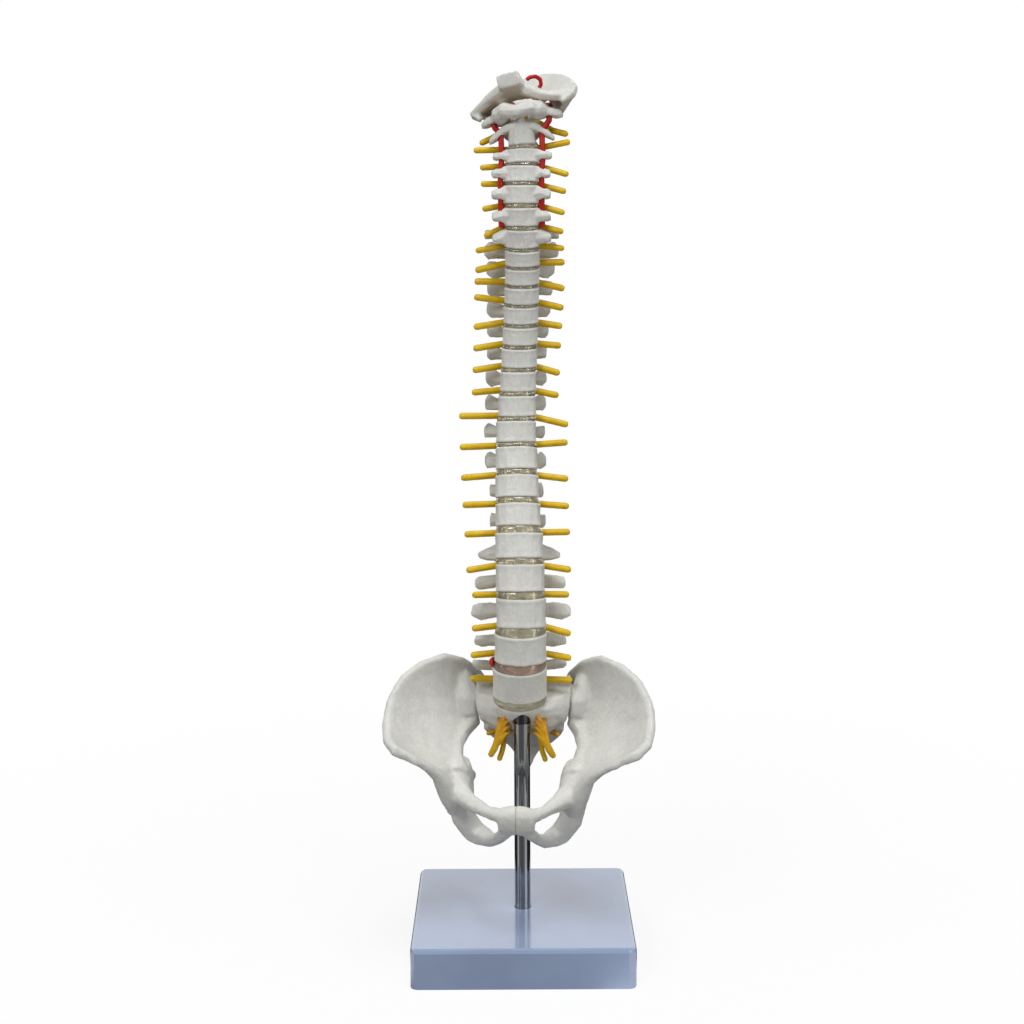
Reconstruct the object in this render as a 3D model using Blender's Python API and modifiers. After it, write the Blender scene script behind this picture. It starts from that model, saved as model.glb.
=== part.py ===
"""Half-size model of the human vertebral column with pelvis, on a pole and a square base.

Metres, +Z up. The origin is on the table, under the pole's axis. -Y is the model's front
and +X is the viewer's right when the front is seen.
"""

import math

import bmesh
import bpy
from mathutils import Euler, Matrix, Vector

MM = 0.001

# Clearances between pieces that touch on the real model
GAP = 0.3 * MM
FACET_GAP = 0.6 * MM

# Base, a moulded shell with ribs under it
BASE_WIDTH = 113.0 * MM
BASE_HEIGHT = 20.8 * MM
BASE_WALL = 2.4 * MM
BASE_EDGE_ROUND = 2.0 * MM
BASE_CORNER_ROUND = 4.0 * MM
BASE_RIB_THICKNESS = 2.0 * MM
BASE_RIBS_EACH_WAY = 2
BASE_BOSS_DIAMETER = 18.0 * MM

# Pole, with its nut under the base
POLE_DIAMETER = 8.3 * MM
POLE_TOP_Z = 127.0 * MM
POLE_GROOVE_Z = 121.6 * MM
POLE_GROOVE_WIDTH = 1.2 * MM
POLE_GROOVE_DEPTH = 0.45 * MM
POLE_CHAMFER = 0.5 * MM
NUT_ACROSS_FLATS = 13.0 * MM
NUT_HEIGHT = 5.0 * MM
NUT_Z = 3.0 * MM

# Flexible rod that strings the bodies and discs
ROD_DIAMETER = 3.4 * MM
ROD_BORE_DIAMETER = 5.2 * MM

# Sacral plate, where the column starts
PLATE_CENTRE = Vector((-1.0, 1.5, 132.7)) * MM
PLATE_TILT = 28.0
PLATE_WIDTH = 28.0 * MM
PLATE_DEPTH = 18.6 * MM

# Vertebrae from the lowest to the highest
LEVELS = ["L5", "L4", "L3", "L2", "L1", "T12", "T11", "T10", "T9", "T8", "T7", "T6",
          "T5", "T4", "T3", "T2", "T1", "C7", "C6", "C5", "C4", "C3", "C2", "C1"]

# Sizes of the vertebrae at a few levels, in millimetres or degrees; the levels
# between them follow on straight runs
BODY_HEIGHT = {"L5": 17.4, "L4": 15.0, "L3": 14.7, "L1": 12.8, "T12": 11.4, "T10": 11.1,
               "T9": 10.6, "T7": 9.8, "T5": 8.7, "T3": 8.0, "T1": 7.4, "C7": 8.7, "C5": 8.6,
               "C3": 6.4, "C2": 12.6, "C1": 5.0}
DISC_HEIGHT = {"L5": 3.8, "L3": 3.4, "L1": 2.9, "T12": 3.4, "T9": 3.0, "T6": 2.5,
               "T3": 1.9, "C7": 1.8, "C5": 2.1, "C3": 1.6, "C2": 2.2, "C1": 0.4}
BODY_WIDTH = {"L5": 27.6, "L3": 25.0, "L1": 24.1, "T12": 22.5, "T10": 20.9, "T7": 18.2,
              "T4": 17.2, "T1": 17.0, "C6": 16.2, "C3": 15.8, "C2": 14.2, "C1": 13.4}
BODY_DEPTH = {"L5": 18.6, "L3": 17.2, "T12": 15.6, "T9": 13.9, "T6": 12.3, "T1": 11.6,
              "C7": 10.4, "C3": 9.4, "C1": 9.0}
FORWARD_TILT = {"L5": 20.0, "L4": 8.0, "L3": -3.0, "L2": -10.0, "T12": -16.0, "T10": -15.0,
                "T8": -3.5, "T6": 3.5, "T1": 13.5, "C7": 12.0, "C6": 6.0, "C5": 0.0,
                "C3": -6.0, "C1": -6.0}
SIDE_SWAY = {"L5": -1.1, "L3": -0.2, "T11": -2.0, "T9": -2.3, "T6": -0.5, "T3": 0.8,
             "T1": 1.2, "C6": 0.8, "C4": 0.6, "C3": 1.4, "C2": 1.2, "C1": 0.6}
TURN = {"L1": 0.0, "T10": 2.0, "T6": 5.0, "T2": 3.0, "C7": 0.0, "C3": -4.0, "C2": -4.0,
        "C1": -13.0}
SIDE_LEAN = {"C4": 0.0, "C3": 1.0, "C2": 3.5, "C1": 7.0}
CANAL_HALF_WIDTH = {"L5": 6.2, "L1": 5.4, "T10": 4.5, "T2": 4.6, "C7": 5.6, "C2": 5.8}
CANAL_DEPTH = {"L5": 8.2, "T12": 7.6, "T3": 7.2, "C2": 7.0}
PEDICLE_HALF_THICKNESS = {"L5": 2.6, "L1": 1.8, "T12": 1.7, "T1": 1.4, "C7": 1.3, "C2": 1.3}
LAMINA_HALF_THICKNESS = {"L5": 1.5, "T12": 1.3, "C2": 1.1}
SIDE_PROCESS_SPAN = {"L5": 25.0, "L4": 24.4, "L3": 26.0, "L2": 23.8, "L1": 21.5, "T12": 14.8,
                     "T11": 14.2, "T10": 16.2, "T8": 16.2, "T6": 15.8, "T4": 16.8, "T2": 17.8,
                     "T1": 19.0, "C7": 19.0, "C6": 14.8, "C3": 14.4, "C2": 16.0}
SIDE_PROCESS_BACK = {"L5": 1.0, "L2": 1.0, "L1": 1.5, "T12": 3.0, "T10": 5.0, "T2": 5.0,
                     "T1": 3.0, "C7": 1.0}
SIDE_PROCESS_HEIGHT = {"L5": 1.8, "L4": -1.9, "L3": -1.9, "L1": -4.2, "T12": -2.0, "T10": 0.0,
                       "T4": 0.0, "T1": -0.6, "C7": -0.2}
SIDE_PROCESS_ROOT = {"L5": 3.4, "L2": 3.9, "L1": 3.6, "T12": 3.0, "T1": 2.5}
SIDE_PROCESS_TIP = {"L5": 3.9, "L4": 3.9, "L3": 4.8, "L2": 4.5, "L1": 2.5, "T12": 3.6, "T9": 3.3,
                    "T1": 3.3, "C7": 2.7}
SPINE_LENGTH = {"L5": 10.5, "L4": 14.0, "L1": 14.5, "T12": 13.0, "T10": 13.5, "T7": 17.0,
                "T4": 16.0, "T1": 16.5, "C7": 16.0, "C6": 11.0, "C4": 7.0, "C3": 7.0, "C2": 9.5}
SPINE_DROP = {"L5": 18.0, "L1": 12.0, "T12": 18.0, "T10": 34.0, "T7": 50.0, "T4": 44.0,
              "T1": 24.0, "C7": 22.0, "C5": 20.0, "C2": 16.0}
SPINE_TIP_HEIGHT = {"L5": 7.0, "L3": 10.0, "L1": 9.2, "T12": 7.4, "T10": 4.8, "T1": 3.4,
                    "C7": 3.6, "C5": 3.0, "C2": 4.6}

# Pedicles' lower and upper edges, as shares of the vertebra's height
PEDICLE_LOW = {"L5": -0.02, "L4": -0.14, "L3": -0.22, "C2": -0.22}
PEDICLE_HIGH = {"L5": 0.42, "L4": 0.38, "L3": 0.32, "C2": 0.30}

# Shape of a vertebra as shares of its own body, and what its soft skin takes off each side
BACK_FLATTENING = 0.78
WAIST = 0.97
BODY_SIDES = 12
SKIN_LOSS = 0.25 * MM

# Half depth of the transverse processes, and their outline as shares of the length and the size
LOBE_HALF_DEPTH = {"L": 1.7 * MM, "T": 1.8 * MM, "C": 1.8 * MM}
LOBE_OUTLINE = [(0.0, 0.9), (0.45, 0.94), (0.78, 1.0), (0.93, 0.86), (1.0, 0.55)]

# Arch round the canal: the laminae's side place as a share of the canal's half width, their
# lower and upper edges as shares of the height, and how much thicker the arch is at the back
LAMINA_SIDE = 0.66
LAMINA_EDGES = (-0.42, 0.22)
LAMINA_BACK_EDGES = (-0.42, 0.14)
LAMINA_BACK_SWELL = 1.15
SLAB_SHOULDER = 0.12

# Spinous process as (share of its length, half thickness as a share of the lamina's, share of
# the way from the root's half height to the tip's), and its root
SPINE_OUTLINE = [(0.0, 1.4, 0.0), (0.55, 0.9, 0.52), (0.92, 1.25, 1.0), (1.0, 0.7, 1.15)]
SPINE_ROOT_HEIGHT = 0.26
SPINE_ROOT_DROP = -0.14

# Facets: upper ones as (height of the root, shares of the reach), lower ones likewise
UPPER_FACET = (0.08, (-0.6, 1.0))
LOWER_FACET = (-0.12, (0.7, -1.0))
FACET_SIDE = 0.72
FACET_TAPER = (1.0, 0.8)

# Neck wing: places to the side, half depths in millimetres, and half heights and rises as
# shares of the vertebra's height
NECK_WING = [(5.8, 3.0, 0.50, 0.02), (9.6, 3.1, 0.44, 0.07), (12.2, 2.7, 0.33, 0.04),
             (13.8, 2.4, 0.28, 0.0), (14.7, 1.4, 0.19, 0.0)]
NECK_WING_BACK = -0.3 * MM

# Facets, how far they lie behind the canal's middle and their longest reach past the joint
FACET_BACK = 3.1 * MM
FACET_LONGEST = 3.2 * MM

# Arteries, and the holes for them in the neck
ARTERY_DIAMETER = 3.0 * MM
ARTERY_LOOP_DIAMETER = 2.0 * MM
ARTERY_CLEARANCE = 0.45 * MM
ARTERY_SIDE = 10.1 * MM
ARTERY_FORWARD = -0.1 * MM
ARTERY_REACH = 6.0 * MM
ARTERY_START = 0.62
ARTERY_TOP = [(13.8, 1.6, -5.0), (14.4, 2.0, 0.0), (14.2, 5.4, 2.4), (12.0, 9.6, 3.8),
              (8.2, 11.8, 4.6), (5.6, 10.6, 8.0)]
ARTERY_LOOP = [(7.4, 10.6, 11.6), (9.8, 10.0, 14.6), (9.8, 9.2, 17.0), (7.8, 8.4, 18.6),
               (5.2, 7.2, 18.4), (3.6, 6.4, 17.2)]

# Cord and nerves
CORD_DIAMETER = 5.0 * MM
NERVE_DIAMETER = 3.5 * MM
NECK_NERVE_DIAMETER = 3.1 * MM
NERVE_TIP = 0.6
NERVE_TIP_LENGTH = 1.0 * MM
NERVE_CLEARANCE = 0.4 * MM

# How high each nerve pair leaves, how far each nerve reaches to the side and how far its
# tip drops, in millimetres, at the disc under the named vertebra: left, right
NERVE_RISE = {"L5": 5.0, "L4": 2.0, "L3": 0.2, "L1": -1.4, "T12": -0.8, "T9": 0.6, "T8": 1.7,
              "T6": 1.3, "T5": 0.6, "T1": 0.4, "C3": 0.0}
NERVE_REACH_LEFT = {"L5": 25.5, "L2": 24.5, "L1": 27.0, "T8": 29.0, "T7": 23.0, "T2": 23.5,
                    "C7": 23.0, "C6": 18.5, "C3": 20.5, "C2": 24.0}
NERVE_REACH_RIGHT = {"L5": 27.0, "L2": 24.5, "L1": 26.0, "T8": 26.5, "T7": 21.0, "T2": 21.5,
                     "C6": 20.5, "C2": 23.5}
NERVE_DROP = {"L5": (-3, -2), "L4": (0, 2), "L3": (1, 4), "L2": (0, 0), "L1": (3, 3),
              "T12": (1, 0), "T11": (1, 2), "T10": (2, 3), "T9": (1, -1), "T8": (0, 5),
              "T7": (1, 3), "T6": (2, 4), "T5": (2, 1), "T4": (2, 2), "T3": (-3, 3),
              "T2": (-1, 3), "T1": (3, -1), "C7": (2, 1), "C6": (5, 3), "C5": (2, 4),
              "C4": (0, 4), "C3": (1, 5), "C2": (0, -2)}

# Topmost nerve pair in its joint's frame, in millimetres
TOP_NERVE = [(1.0, 8.2, -1.0), (8.4, 9.8, -1.6), (14.5, 7.5, -6.0), (21.0, 5.6, -8.6),
             (22.0, 5.4, -9.0)]

# Sacral canal and nerves in the pelvis's frame, in millimetres, with radii
SACRAL_CANAL = [(-0.8, 11.2, 145, 3.8), (-0.5, 14.8, 132, 3.8), (0, 20.5, 121, 3.0),
                (0, 25, 113, 2.4)]
CORD_END = [(0, 15, 132, 2.4), (0, 20.3, 121.4, 1.8), (0, 22.6, 117, 1.0)]
SACRAL_NERVES = [
    ([(1.0, 15.5, 130), (7.0, 11.5, 126), (10.6, 3.0, 122.5), (11.6, -2.4, 118.0),
      (13.4, -2.4, 110), (16.2, -0.5, 103.5), (16.6, -0.2, 102.7)], 1.6),
    ([(0.6, 20.5, 121), (6.0, 17.0, 117), (8.8, 9.0, 114.5), (9.4, 3.0, 112.0),
      (10.2, 1.6, 106), (12.0, 2.0, 100.5), (12.2, 2.2, 99.8)], 1.4),
    ([(6.0, 17.0, 117), (12.6, 12.4, 113.6), (18.4, 8.4, 112.2), (19.0, 8.0, 112.1)], 1.2),
]

# Pelvis, modelled on the +X side of its own mid plane
PELVIS_TURN = -4.5
PELVIS_SHIFT = Vector((0.0, 0.0, 0.0)) * MM

# Fineness of the moulded bones and their numbers of faces
BONE_GRAIN = 1.1 * MM
SKULL_GRAIN = 0.8 * MM
VERTEBRA_GRAIN = 0.5 * MM
VERTEBRA_FACES = {"L": 230, "T": 210, "C": 220}
AXIS_FACES = 290
HIP_FACES = 680
SACRUM_FACES = 480
OCCIPUT_FACES = 330

# Second neck vertebra: its tooth, and its shoulder as (x, z, half depth, half height)
TOOTH_HEIGHT = 7.6 * MM
TOOTH_RADIUS = 2.3 * MM
TOOTH_Y = -2.0 * MM
AXIS_SHOULDER = [(1.5, 3.4, 4.8, 2.7), (7.0, 2.2, 4.9, 2.8), (11.4, -0.4, 4.2, 2.5),
                 (14.4, -2.6, 3.0, 2.1), (16.2, -4.0, 1.6, 1.3)]

# First neck vertebra in millimetres: its arches with radii, lateral mass, and its wing
# as (x, y, z, half depth, half height)
ATLAS_FRONT = [(-9.5, -3.0, 0.6, 3.6), (-6.0, -6.6, 1.2, 4.0), (0, -8.4, -0.3, 3.2),
               (6.0, -6.6, 1.2, 4.0), (9.5, -3.0, 0.6, 3.6)]
ATLAS_BACK = [(-9.5, 4.0, 0, 2.2), (-10.2, 10.0, 0, 1.7), (-6.4, 16.2, 0, 1.6), (0, 18.6, 0, 2.2),
              (6.4, 16.2, 0, 1.6), (10.2, 10.0, 0, 1.7), (9.5, 4.0, 0, 2.2)]
ATLAS_MASS_CENTRE = (9.4, -0.6, 0.2)
ATLAS_MASS_RADII = (4.8 * MM, 7.8 * MM, 4.8 * MM)
ATLAS_WING = [(10.0, 2.0, 0.0, 4.8, 3.4), (14.4, 2.0, -1.0, 4.0, 2.9), (18.4, 2.6, -2.2, 3.0, 2.5),
              (20.6, 3.0, -2.8, 1.6, 1.5)]

# Skull piece: how it stands on the first vertebra, the edge of its big hole and its
# outer rim from the back round to the side, the block in front as (y, bottom, top, half
# width), and the cut sides that hang from the rim, in millimetres
OCCIPUT_RISE = 7.4 * MM
OCCIPUT_TURN = -9.0
OCCIPUT_LEAN = 2.0
SKULL_HOLE_RIM = [(0, 21.5, -0.5), (5.0, 20.0, 0.0), (8.4, 16.4, 0.8), (9.8, 11.0, 1.6),
                  (9.8, 6.0, 1.8), (9.2, 1.0, 1.4)]
SKULL_OUTER_RIM = [(0, 30, 16.5), (12, 28, 14.6), (21, 23, 9.4), (26.5, 15, 2.6), (27.5, 7, -0.4),
                   (24.5, 1, -1.4)]
SKULL_SAG = 0.9 * MM
SKULL_THICKNESS = 2.4 * MM
SKULL_EDGE = [(21.5, 1.0, -6.0, 1.6), (26.0, 4.0, -2.5, 2.6), (26.4, 9.0, 0.5, 2.0)]
SKULL_HOLE_CENTRE = Vector((0, 11.0, 0)) * MM
SKULL_HOLE_RADII = (8.8 * MM, 9.4 * MM, 16 * MM)
CONDYLE_CENTRE = (8.8, 1.5, 0.6)
CONDYLE_RADII = (3.6 * MM, 6.2 * MM, 2.8 * MM)
CLIVUS = [(3.0, -1.0, 3.6, 7.5), (-4.0, 0.8, 7.2, 6.8), (-9.0, 3.4, 10.2, 6.1),
          (-14.5, 5.8, 12.4, 5.9)]
CLIVUS_CORNER = 0.7
CLIVUS_FRONT = -12.5 * MM
SKULL_LEFT_SIDE = [(-5, -4, 5.0, 3.8), (-12, -1.0, 3.4, 3.4), (-19, 1.5, 0.6, 3.0),
                   (-25.5, 3.5, -1.8, 2.6)]
SKULL_RIGHT_SIDE = [(5, -4, 2.6, 3.4), (11, -1.0, -0.4, 2.8), (17, 2.0, -2.0, 2.6),
                    (24, 4.0, -2.2, 2.4)]
SKIRT_INNER = [(18.5, 7.0, -7.5), (17, 10, -9.2), (15.5, 14, -9.0), (12.5, 19, -7.2),
               (7, 22.5, -5.4)]
SKIRT_OUTER = [(25.5, 2.5, -1.0), (27.2, 7, -0.2), (26.4, 14, 2.2), (20, 21.5, 5.0), (8, 25.5, 6.0)]
SKIRT_THICKNESS = 2.2 * MM
CLIVUS_FACE_LEAN = 8.0

# Iliac wing: its brim and its crest from the front to the back, in millimetres
BRIM_POINTS = [(38, -32, 101), (37.5, -26, 100), (36.5, -19, 101), (36, -12, 103),
               (35.5, -5, 106), (34.5, 1, 109.5), (32, 7.5, 113.5), (29, 12.5, 117), (25, 18, 120),
               (21, 27, 120)]
CREST_POINTS = [(60.5, -44, 119), (65, -36, 121), (66.6, -25, 127), (65.6, -18, 137),
                (60, -12, 146.5), (51, -4, 152.5), (40, 5, 154.4), (31, 15, 149), (25, 23, 141),
                (20, 33, 127)]
CREST_RADII = [2.6, 2.6, 2.6, 2.4, 2.2, 2.1, 2.1, 2.2, 2.6, 3.2]
WING_BACK = Vector((0.62, 0.78, 0.0))
WING_SAG = 4.0 * MM
WING_THICKNESS = 3.4 * MM

# Rest of the hip bone as tapering runs, (x, y, z, radius) in millimetres
HIP_TUBES = {
    "front_spine": [(61, -44, 119, 3.2), (56, -43, 116, 2.6), (50, -41, 112.5, 2.2),
                    (44, -36, 107, 2.6), (40, -30, 101, 3.6), (37.5, -25, 93, 4.6),
                    (35.5, -21, 85, 4.8)],
    "brim": [(32, -16, 97, 6.5), (35, -6, 103, 4.9), (35, 2, 108.5, 4.4), (32, 9, 114, 4.8),
             (27, 15.5, 119.5, 5.6)],
    "joint_mass": [(25, 10, 134, 4.2), (23, 16, 128, 6.0), (20.5, 26, 124, 5.6),
                   (20, 33, 123, 3.6)],
    "joint_front": [(34, 17, 147, 3.2), (31.5, 15, 139, 5.0), (29.5, 13, 130, 6.4),
                    (28.5, 12.5, 122, 5.6)],
    "front_branch": [(32, -19, 90, 6.6), (25, -28.5, 87.4, 4.4), (15.5, -37, 85.4, 3.3),
                     (6.5, -42, 84.8, 3.7), (2, -43, 84.0, 4.4)],
    "pubis": [(4, -42, 86, 3.8), (4, -41, 79, 3.2), (6, -37, 76, 2.6)],
    "back_column": [(32.5, -3, 100, 6.0), (32, 1, 90, 6.8), (32.5, -1, 79, 7.0),
                    (30.5, -1, 69, 6.4), (25.5, 0, 61.5, 6.2), (21, -2, 59, 5.2)],
    "spine_point": [(30, 4, 91, 5.0), (28, 10, 88.5, 3.4), (26, 15.5, 86.5, 1.5)],
    "low_branch": [(21, -2, 60, 5.4), (16, -12, 61.5, 3.8), (11, -23, 66, 3.2),
                   (7, -34, 72.5, 3.3), (3, -40, 78, 3.4)],
}
SOCKET_MASS_CENTRE = Vector((33.8, -12.0, 88.0)) * MM
SOCKET_MASS_RADII = (8.8 * MM, 13.0 * MM, 13.5 * MM)
SOCKET_CENTRE = Vector((43.5, -12.5, 86.0)) * MM
SOCKET_RADIUS = 11.4 * MM

# Sacroiliac joint: a plane through a point, leaning and toed in, in degrees
SI_POINT = Vector((23.0, 13.0, 129.0)) * MM
SI_LEAN = 8.0
SI_TOE = 12.0
SI_HALF_DEPTH = 27.0 * MM
SI_HALF_HEIGHT = 26.0 * MM

# Sacrum and coccyx: sections of the shield as (y, z, half width, half depth), and
# tapering runs as (x, y, z, radius); each wing as (x, y, z, half depth, half height); in
# millimetres
SACRUM_RINGS = [(6.0, 132, 20.0, 10.5), (11.0, 122, 21.5, 10.5), (17.0, 114.5, 19.5, 8.8),
                (22.5, 109.0, 15.8, 7.2), (27.0, 104.0, 11.8, 5.8), (30.0, 99.0, 8.4, 4.6),
                (31.8, 94.0, 5.4, 3.4), (31.6, 89.5, 3.2, 2.6), (30.5, 86.5, 2.0, 1.8)]
SACRUM_TUBES = [
    [(0, 20, 133, 2.6), (0, 26, 125, 3.0), (0, 31, 116, 2.8), (0, 34, 106, 2.4), (0, 34.5, 98, 2.0)],
]
ALA_RUN = [(5, 8.0, 126, 9.5, 7.5), (13, 9.5, 127.5, 9.5, 9.5), (20, 12.5, 129.5, 9.5, 12.0),
           (27, 16.0, 130.5, 9.5, 13.5), (33, 18.5, 131, 9.0, 13.0)]
ALA_TUBES = [
    [(21, 15, 118, 6.0), (16, 20, 112.5, 5.0), (11, 26, 105, 4.0)],
    [(11.5, 12.0, 131, 3.4), (10.5, 11.6, 136, 2.2), (9.8, 11.9, 140.0, 1.6)],
]
ROD_SEAT_DEPTH = 4.4 * MM
POLE_SIDES = 16

# Bulge of the torn disc: how far inside the bodies' edge its middle lies, and its offset
HERNIA_INSET = 0.1 * MM
HERNIA_OFFSET = Vector((0, 0.6, 0.3)) * MM
HERNIA_RADII = (2.6 * MM, 3.6 * MM, 2.7 * MM)

BONE = (0.80, 0.80, 0.77)


def clear_scene():
    """Remove every object that the file starts with."""
    for item in list(bpy.data.objects):
        bpy.data.objects.remove(item, do_unlink=True)


def make_collection(name):
    """Return a new collection in the scene."""
    group = bpy.data.collections.new(name)
    bpy.context.scene.collection.children.link(group)
    return group


def make_material(name, colour, roughness, metallic=0.0, alpha=1.0):
    """Return a Principled material."""
    made = bpy.data.materials.new(name)
    made.use_nodes = True
    shader = made.node_tree.nodes["Principled BSDF"]
    shader.inputs["Base Color"].default_value = (*colour, 1.0)
    shader.inputs["Roughness"].default_value = roughness
    shader.inputs["Metallic"].default_value = metallic
    shader.inputs["Alpha"].default_value = alpha
    return made


def smooth_value(stations, level):
    """Return a size at a level, on straight runs between the named stations."""
    place = LEVELS.index(level)
    known = sorted((LEVELS.index(name), value) for name, value in stations.items())
    if place <= known[0][0]:
        return known[0][1]
    for (low, first), (high, last) in zip(known, known[1:]):
        if place <= high:
            share = (place - low) / (high - low)
            return first + (last - first) * share
    return known[-1][1]


def evaluated_mesh(item):
    """Return the mesh of an object with its modifiers in place."""
    bpy.context.view_layer.update()
    graph = bpy.context.evaluated_depsgraph_get()
    return bpy.data.meshes.new_from_object(item.evaluated_get(graph))


def bake(item):
    """Put an object's modifiers into its mesh."""
    mesh = evaluated_mesh(item)
    item.modifiers.clear()
    old = item.data
    item.data = mesh
    bpy.data.meshes.remove(old)
    return item


def add_mesh(name, form, group):
    """Turn a bmesh into an object, with its faces pointing out."""
    bmesh.ops.recalc_face_normals(form, faces=form.faces)
    mesh = bpy.data.meshes.new(name)
    form.to_mesh(mesh)
    form.free()
    item = bpy.data.objects.new(name, mesh)
    group.objects.link(item)
    return item


def loft(name, rings, group):
    """Skin a closed solid over rings that hold the same number of points."""
    form = bmesh.new()
    rows = [[form.verts.new(point) for point in ring] for ring in rings]
    count = len(rows[0])
    for low, high in zip(rows, rows[1:]):
        for k in range(count):
            form.faces.new((low[k], low[(k + 1) % count], high[(k + 1) % count], high[k]))
    form.faces.new(rows[0])
    form.faces.new(rows[-1])
    return add_mesh(name, form, group)


def ball(name, centre, radii, group, turn=(0, 0, 0), fine=2):
    """Make an ellipsoid from an icosphere."""
    form = bmesh.new()
    place = Matrix.LocRotScale(Vector(centre), Euler([math.radians(a) for a in turn]),
                               Vector(radii))
    bmesh.ops.create_icosphere(form, subdivisions=fine, radius=1.0, matrix=place)
    return add_mesh(name, form, group)


def drum(name, centre, axis, radius, length, group, sides=8):
    """Make a cylinder about a centre, along an axis."""
    form = bmesh.new()
    turn = Vector((0, 0, 1)).rotation_difference(Vector(axis)).to_matrix().to_4x4()
    bmesh.ops.create_cone(form, cap_ends=True, segments=sides, radius1=radius, radius2=radius,
                          depth=length, matrix=Matrix.Translation(Vector(centre)) @ turn)
    return add_mesh(name, form, group)


def block(name, centre, size, group, turn=None):
    """Make a box about a centre."""
    form = bmesh.new()
    place = Matrix.LocRotScale(Vector(centre), turn, Vector(size))
    bmesh.ops.create_cube(form, size=1.0, matrix=place)
    return add_mesh(name, form, group)


def tube(name, points, radii, group, sides=8):
    """Make a capped tube of changing radius from a curve with a bevel."""
    curve = bpy.data.curves.new(name, "CURVE")
    curve.dimensions = "3D"
    curve.bevel_depth = 1.0
    curve.bevel_resolution = (sides - 4) // 2
    curve.use_fill_caps = True
    spline = curve.splines.new("POLY")
    spline.points.add(len(points) - 1)
    for knot, point, radius in zip(spline.points, points, radii):
        knot.co = (*point, 1.0)
        knot.radius = radius
    guide = bpy.data.objects.new(name + "_path", curve)
    group.objects.link(guide)
    mesh = evaluated_mesh(guide)
    bpy.data.objects.remove(guide, do_unlink=True)
    form = bmesh.new()
    form.from_mesh(mesh)
    bpy.data.meshes.remove(mesh)
    bmesh.ops.remove_doubles(form, verts=form.verts, dist=0.00001)
    return add_mesh(name, form, group)


def combine(item, others, operation):
    """Join others to an object, or cut them from it, with one exact Boolean."""
    group = make_collection(item.name + "_operands")
    for other in others:
        for owner in list(other.users_collection):
            owner.objects.unlink(other)
        group.objects.link(other)
    step = item.modifiers.new("combine", "BOOLEAN")
    step.operation = operation
    step.solver = "EXACT"
    step.operand_type = "COLLECTION"
    step.collection = group
    bake(item)
    for other in others:
        bpy.data.objects.remove(other, do_unlink=True)
    bpy.data.collections.remove(group)
    return item


def join(item, others):
    """Unite solids into one."""
    return combine(item, others, "UNION")


def cut(item, cutters):
    """Cut solids out of one."""
    return combine(item, cutters, "DIFFERENCE")


def tidy(item, distance=0.000004):
    """Weld the slivers that a Boolean leaves."""
    form = bmesh.new()
    form.from_mesh(item.data)
    bmesh.ops.remove_doubles(form, verts=form.verts, dist=distance)
    bmesh.ops.dissolve_degenerate(form, edges=form.edges, dist=distance)
    form.to_mesh(item.data)
    form.free()
    return item


def mould(name, pieces, grain, passes, faces, group):
    """Melt overlapping solids into one bone with a soft skin of a set number of faces."""
    form = bmesh.new()
    for piece in pieces:
        form.from_mesh(piece.data)
        bpy.data.objects.remove(piece, do_unlink=True)
    bone = add_mesh(name, form, group)
    melt = bone.modifiers.new("melt", "REMESH")
    melt.mode = "VOXEL"
    melt.voxel_size = grain
    soften = bone.modifiers.new("soften", "SMOOTH")
    soften.factor = 0.5
    soften.iterations = passes
    bake(bone)
    thin = bone.modifiers.new("thin", "DECIMATE")
    thin.ratio = faces / sum(len(face.vertices) - 2 for face in bone.data.polygons)
    thin.use_collapse_triangulate = True
    return bake(bone)


def finish(item, name, material, angle=40.0):
    """Name a finished piece, dress it and shade its round parts smooth."""
    item.name = name
    item.data.name = name
    item.data.materials.clear()
    item.data.materials.append(material)
    item.data.shade_smooth()
    item.data.set_sharp_from_angle(angle=math.radians(angle))
    return item


class Level:
    """Sizes and place of one vertebra, with its own frame."""

    def __init__(self, name):
        self.name = name
        self.region = name[0]
        self.height = smooth_value(BODY_HEIGHT, name) * MM
        self.disc = smooth_value(DISC_HEIGHT, name) * MM
        self.width = smooth_value(BODY_WIDTH, name) * MM
        self.depth = smooth_value(BODY_DEPTH, name) * MM
        self.tilt = smooth_value(FORWARD_TILT, name)
        self.sway = smooth_value(SIDE_SWAY, name) * MM
        self.turn = smooth_value(TURN, name)
        self.lean = smooth_value(SIDE_LEAN, name)
        self.canal_side = smooth_value(CANAL_HALF_WIDTH, name) * MM
        self.canal_depth = smooth_value(CANAL_DEPTH, name) * MM
        self.pedicle = smooth_value(PEDICLE_HALF_THICKNESS, name) * MM
        self.lamina = smooth_value(LAMINA_HALF_THICKNESS, name) * MM
        self.back = self.depth / 2 * BACK_FLATTENING
        self.canal_y = self.back + self.canal_depth / 2 + GAP
        self.frame = Matrix()

    def point(self, x, y, z):
        """Return a point of this vertebra in the model's frame."""
        return self.frame @ Vector((x, y, z))


class Joint:
    """Frame between two neighbours, at the middle of the disc, with the facets' shared sizes."""

    def __init__(self, low_face, high_face, neighbours):
        self.low_face = low_face
        self.high_face = high_face
        middle = (low_face.translation + high_face.translation) / 2
        spin = low_face.to_quaternion().slerp(high_face.to_quaternion(), 0.5)
        self.frame = Matrix.LocRotScale(middle, spin, None)
        count = len(neighbours)
        self.side = sum(level.canal_side + level.pedicle * 0.8 for level in neighbours) / count
        self.back = sum(level.canal_y for level in neighbours) / count + FACET_BACK
        self.reach = min(0.17 * min(level.height for level in neighbours) + 0.4 * MM,
                         FACET_LONGEST)
        loin = neighbours[-1].region == "L"
        self.facet_depth = (1.15 if loin else 0.85) * MM
        self.facet_width = (2.2 if loin else 1.8) * MM


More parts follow.
